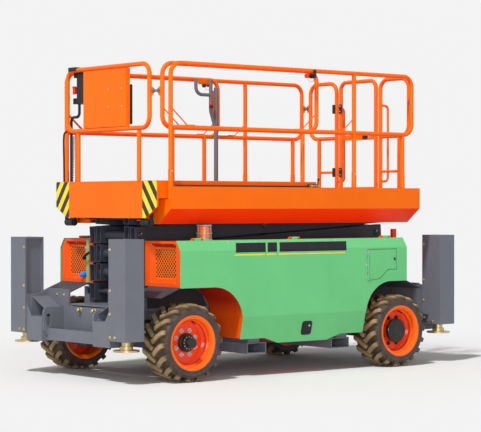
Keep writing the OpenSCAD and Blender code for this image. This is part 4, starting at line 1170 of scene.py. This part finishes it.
def painted_deck_gap_shade():
    """Black strip along the main deck's side walls, where the extension slides: painted shade in
    the gap there.
    """
    bm = bmesh.new()
    x0, x1 = ext_lo.x + 0.14, post_front - 0.030
    z0, z1 = deck_hi.z - 0.001, deck_hi.z + 0.012
    for s in BOTH:
        y = s * (deck_hi.y - 0.0065)
        slab(bm, [(x0, y, z0), (x1, y, z0), (x1, y, z1), (x0, y, z1)], (0, s, 0), 0.004)
    return bm


piece("painted_deck_gap_shade", painted_deck_gap_shade(), m_black, "platform", False)


def hazard_stripes(s, side):
    """Striped film at one end of the extension's front panel."""
    bm = bmesh.new()
    x, y0, y1 = ext_hi.x, s * 0.535, s * 0.733
    top, low = ext_hi.z - 0.002, ext_lo.z + 0.0025
    slab(bm, [(x, y0, top), (x, y1, top), (x, y1, top - 0.211), (x, s * 0.582, low),
              (x, y0, low)], X, 0.0008)
    film = stripes("hazard_" + side, 0.75 * s)
    piece("hazard_stripes_" + side, bm, film, "extension", False)


for s, side in SIDES:
    hazard_stripes(s, side)


# Stage

scene.view_settings.view_transform = "Standard"
PALE = lin(243, 243, 243)
SHADOW_MID = (-0.8, -0.1, 0.0)
FADE_FROM, FADE_TO = 2.7, 4.2  # metres from there in which the floor turns into background
FLOOR_HALF = 90


def seen(t):
    """1 for camera, glossy and transmission rays."""
    path = t.nodes.new("ShaderNodeLightPath")
    total = path.outputs["Is Camera Ray"]
    for key in ("Is Glossy Ray", "Is Transmission Ray"):
        n = t.nodes.new("ShaderNodeMath")
        n.operation = "MAXIMUM"
        t.links.new(total, n.inputs[0])
        t.links.new(path.outputs[key], n.inputs[1])
        total = n.outputs[0]
    return total


def studio_floor():
    """Pale floor that keeps the shadow near the machine and runs out into the plain background."""
    s = Shader("studio_floor")
    tone = s.mix(s.ramp(s.noise(1.2), 0.3, 0.7), scaled(PALE, 0.97), scaled(PALE, 0.99))
    s.finish(tone, s.ramp(s.noise(6.0), 0.2, 0.8, 0.7, 0.8))
    s.bsdf.inputs["Specular IOR Level"].default_value = 0.1
    away = s.add("ShaderNodeVectorMath", operation="LENGTH")
    centre = s.add("ShaderNodeVectorMath", operation="SUBTRACT")
    s.join(s.co, centre.inputs[0])
    centre.inputs[1].default_value = SHADOW_MID
    s.join(centre.outputs[0], away.inputs[0])
    glow = s.add("ShaderNodeEmission")
    glow.inputs["Color"].default_value = PALE
    blend = s.add("ShaderNodeMixShader")
    fade = s.ramp(away.outputs["Value"], FADE_FROM, FADE_TO)
    s.join(s.math("MULTIPLY", fade, seen(s.t)), blend.inputs[0])
    s.join(s.bsdf.outputs["BSDF"], blend.inputs[1])
    s.join(glow.outputs["Emission"], blend.inputs[2])
    s.join(blend.outputs[0], s.out.inputs["Surface"])
    bm = bmesh.new()
    corners = ((-1, -1), (1, -1), (1, 1), (-1, 1))
    bm.faces.new([bm.verts.new((x * FLOOR_HALF, y * FLOOR_HALF, 0)) for x, y in corners])
    me = bpy.data.meshes.new("studio_floor")
    bm.to_mesh(me)
    bm.free()
    me.materials.append(s.mat)
    floor = bpy.data.objects.new("studio_floor", me)
    scene.collection.objects.link(floor)


def studio_world(strength):
    """Even light all round, with the plain background for what the camera sees."""
    world = bpy.data.worlds.new("studio_world")
    scene.world = world
    world.use_nodes = True
    t = world.node_tree
    light = t.nodes["Background"]
    light.inputs["Color"].default_value = (1.0, 1.0, 1.0, 1.0)
    light.inputs["Strength"].default_value = strength
    plain = t.nodes.new("ShaderNodeBackground")
    plain.inputs["Color"].default_value = PALE
    blend = t.nodes.new("ShaderNodeMixShader")
    t.links.new(seen(t), blend.inputs[0])
    t.links.new(light.outputs[0], blend.inputs[1])
    t.links.new(plain.outputs[0], blend.inputs[2])
    t.links.new(blend.outputs[0], t.nodes["World Output"].inputs["Surface"])


def lamp(name, kind, towards, at=(0.0, 0.0, 0.0), energy=1.0, **props):
    """Lamp at a place that shines along a direction."""
    d = bpy.data.lights.new(name, kind)
    d.energy = energy
    for k, v in props.items():
        setattr(d, k, v)
    o = bpy.data.objects.new(name, d)
    o.location = at
    o.rotation_euler = Vector(towards).to_track_quat("-Z", "Y").to_euler()
    scene.collection.objects.link(o)


def from_sky(azimuth, elevation):
    """Unit vector towards a place in the sky, azimuth from +X towards +Y."""
    a, e = math.radians(azimuth), math.radians(elevation)
    return Vector((math.cos(e) * math.cos(a), math.cos(e) * math.sin(a), math.sin(e)))


studio_floor()
studio_world(0.28)
lamp("key", "SUN", -from_sky(22, 56), energy=2.55, angle=math.radians(5))
fill_at, fill_aim = from_sky(52, 7) * 14, Vector((0, 0.4, 1.0))
lamp("fill", "AREA", fill_aim - fill_at, fill_at, energy=560, shape="DISK", size=5.0)

# Camera at the photograph's place

heading, pitch = math.radians(39.025), math.radians(-0.347)
level = math.cos(pitch)
ahead = Vector((-math.sin(heading) * level, -math.cos(heading) * level, math.sin(pitch)))
cam_data = bpy.data.cameras.new("photo_camera")
cam_data.sensor_width = 36.0
cam_data.sensor_fit = "HORIZONTAL"
cam_data.lens = 135.86
cam_data.clip_end = 200.0
cam = bpy.data.objects.new("photo_camera", cam_data)
cam.location = (10.125, 12.506, 1.432)
cam.rotation_euler = ahead.to_track_quat("-Z", "Y").to_euler()
scene.collection.objects.link(cam)
scene.camera = cam
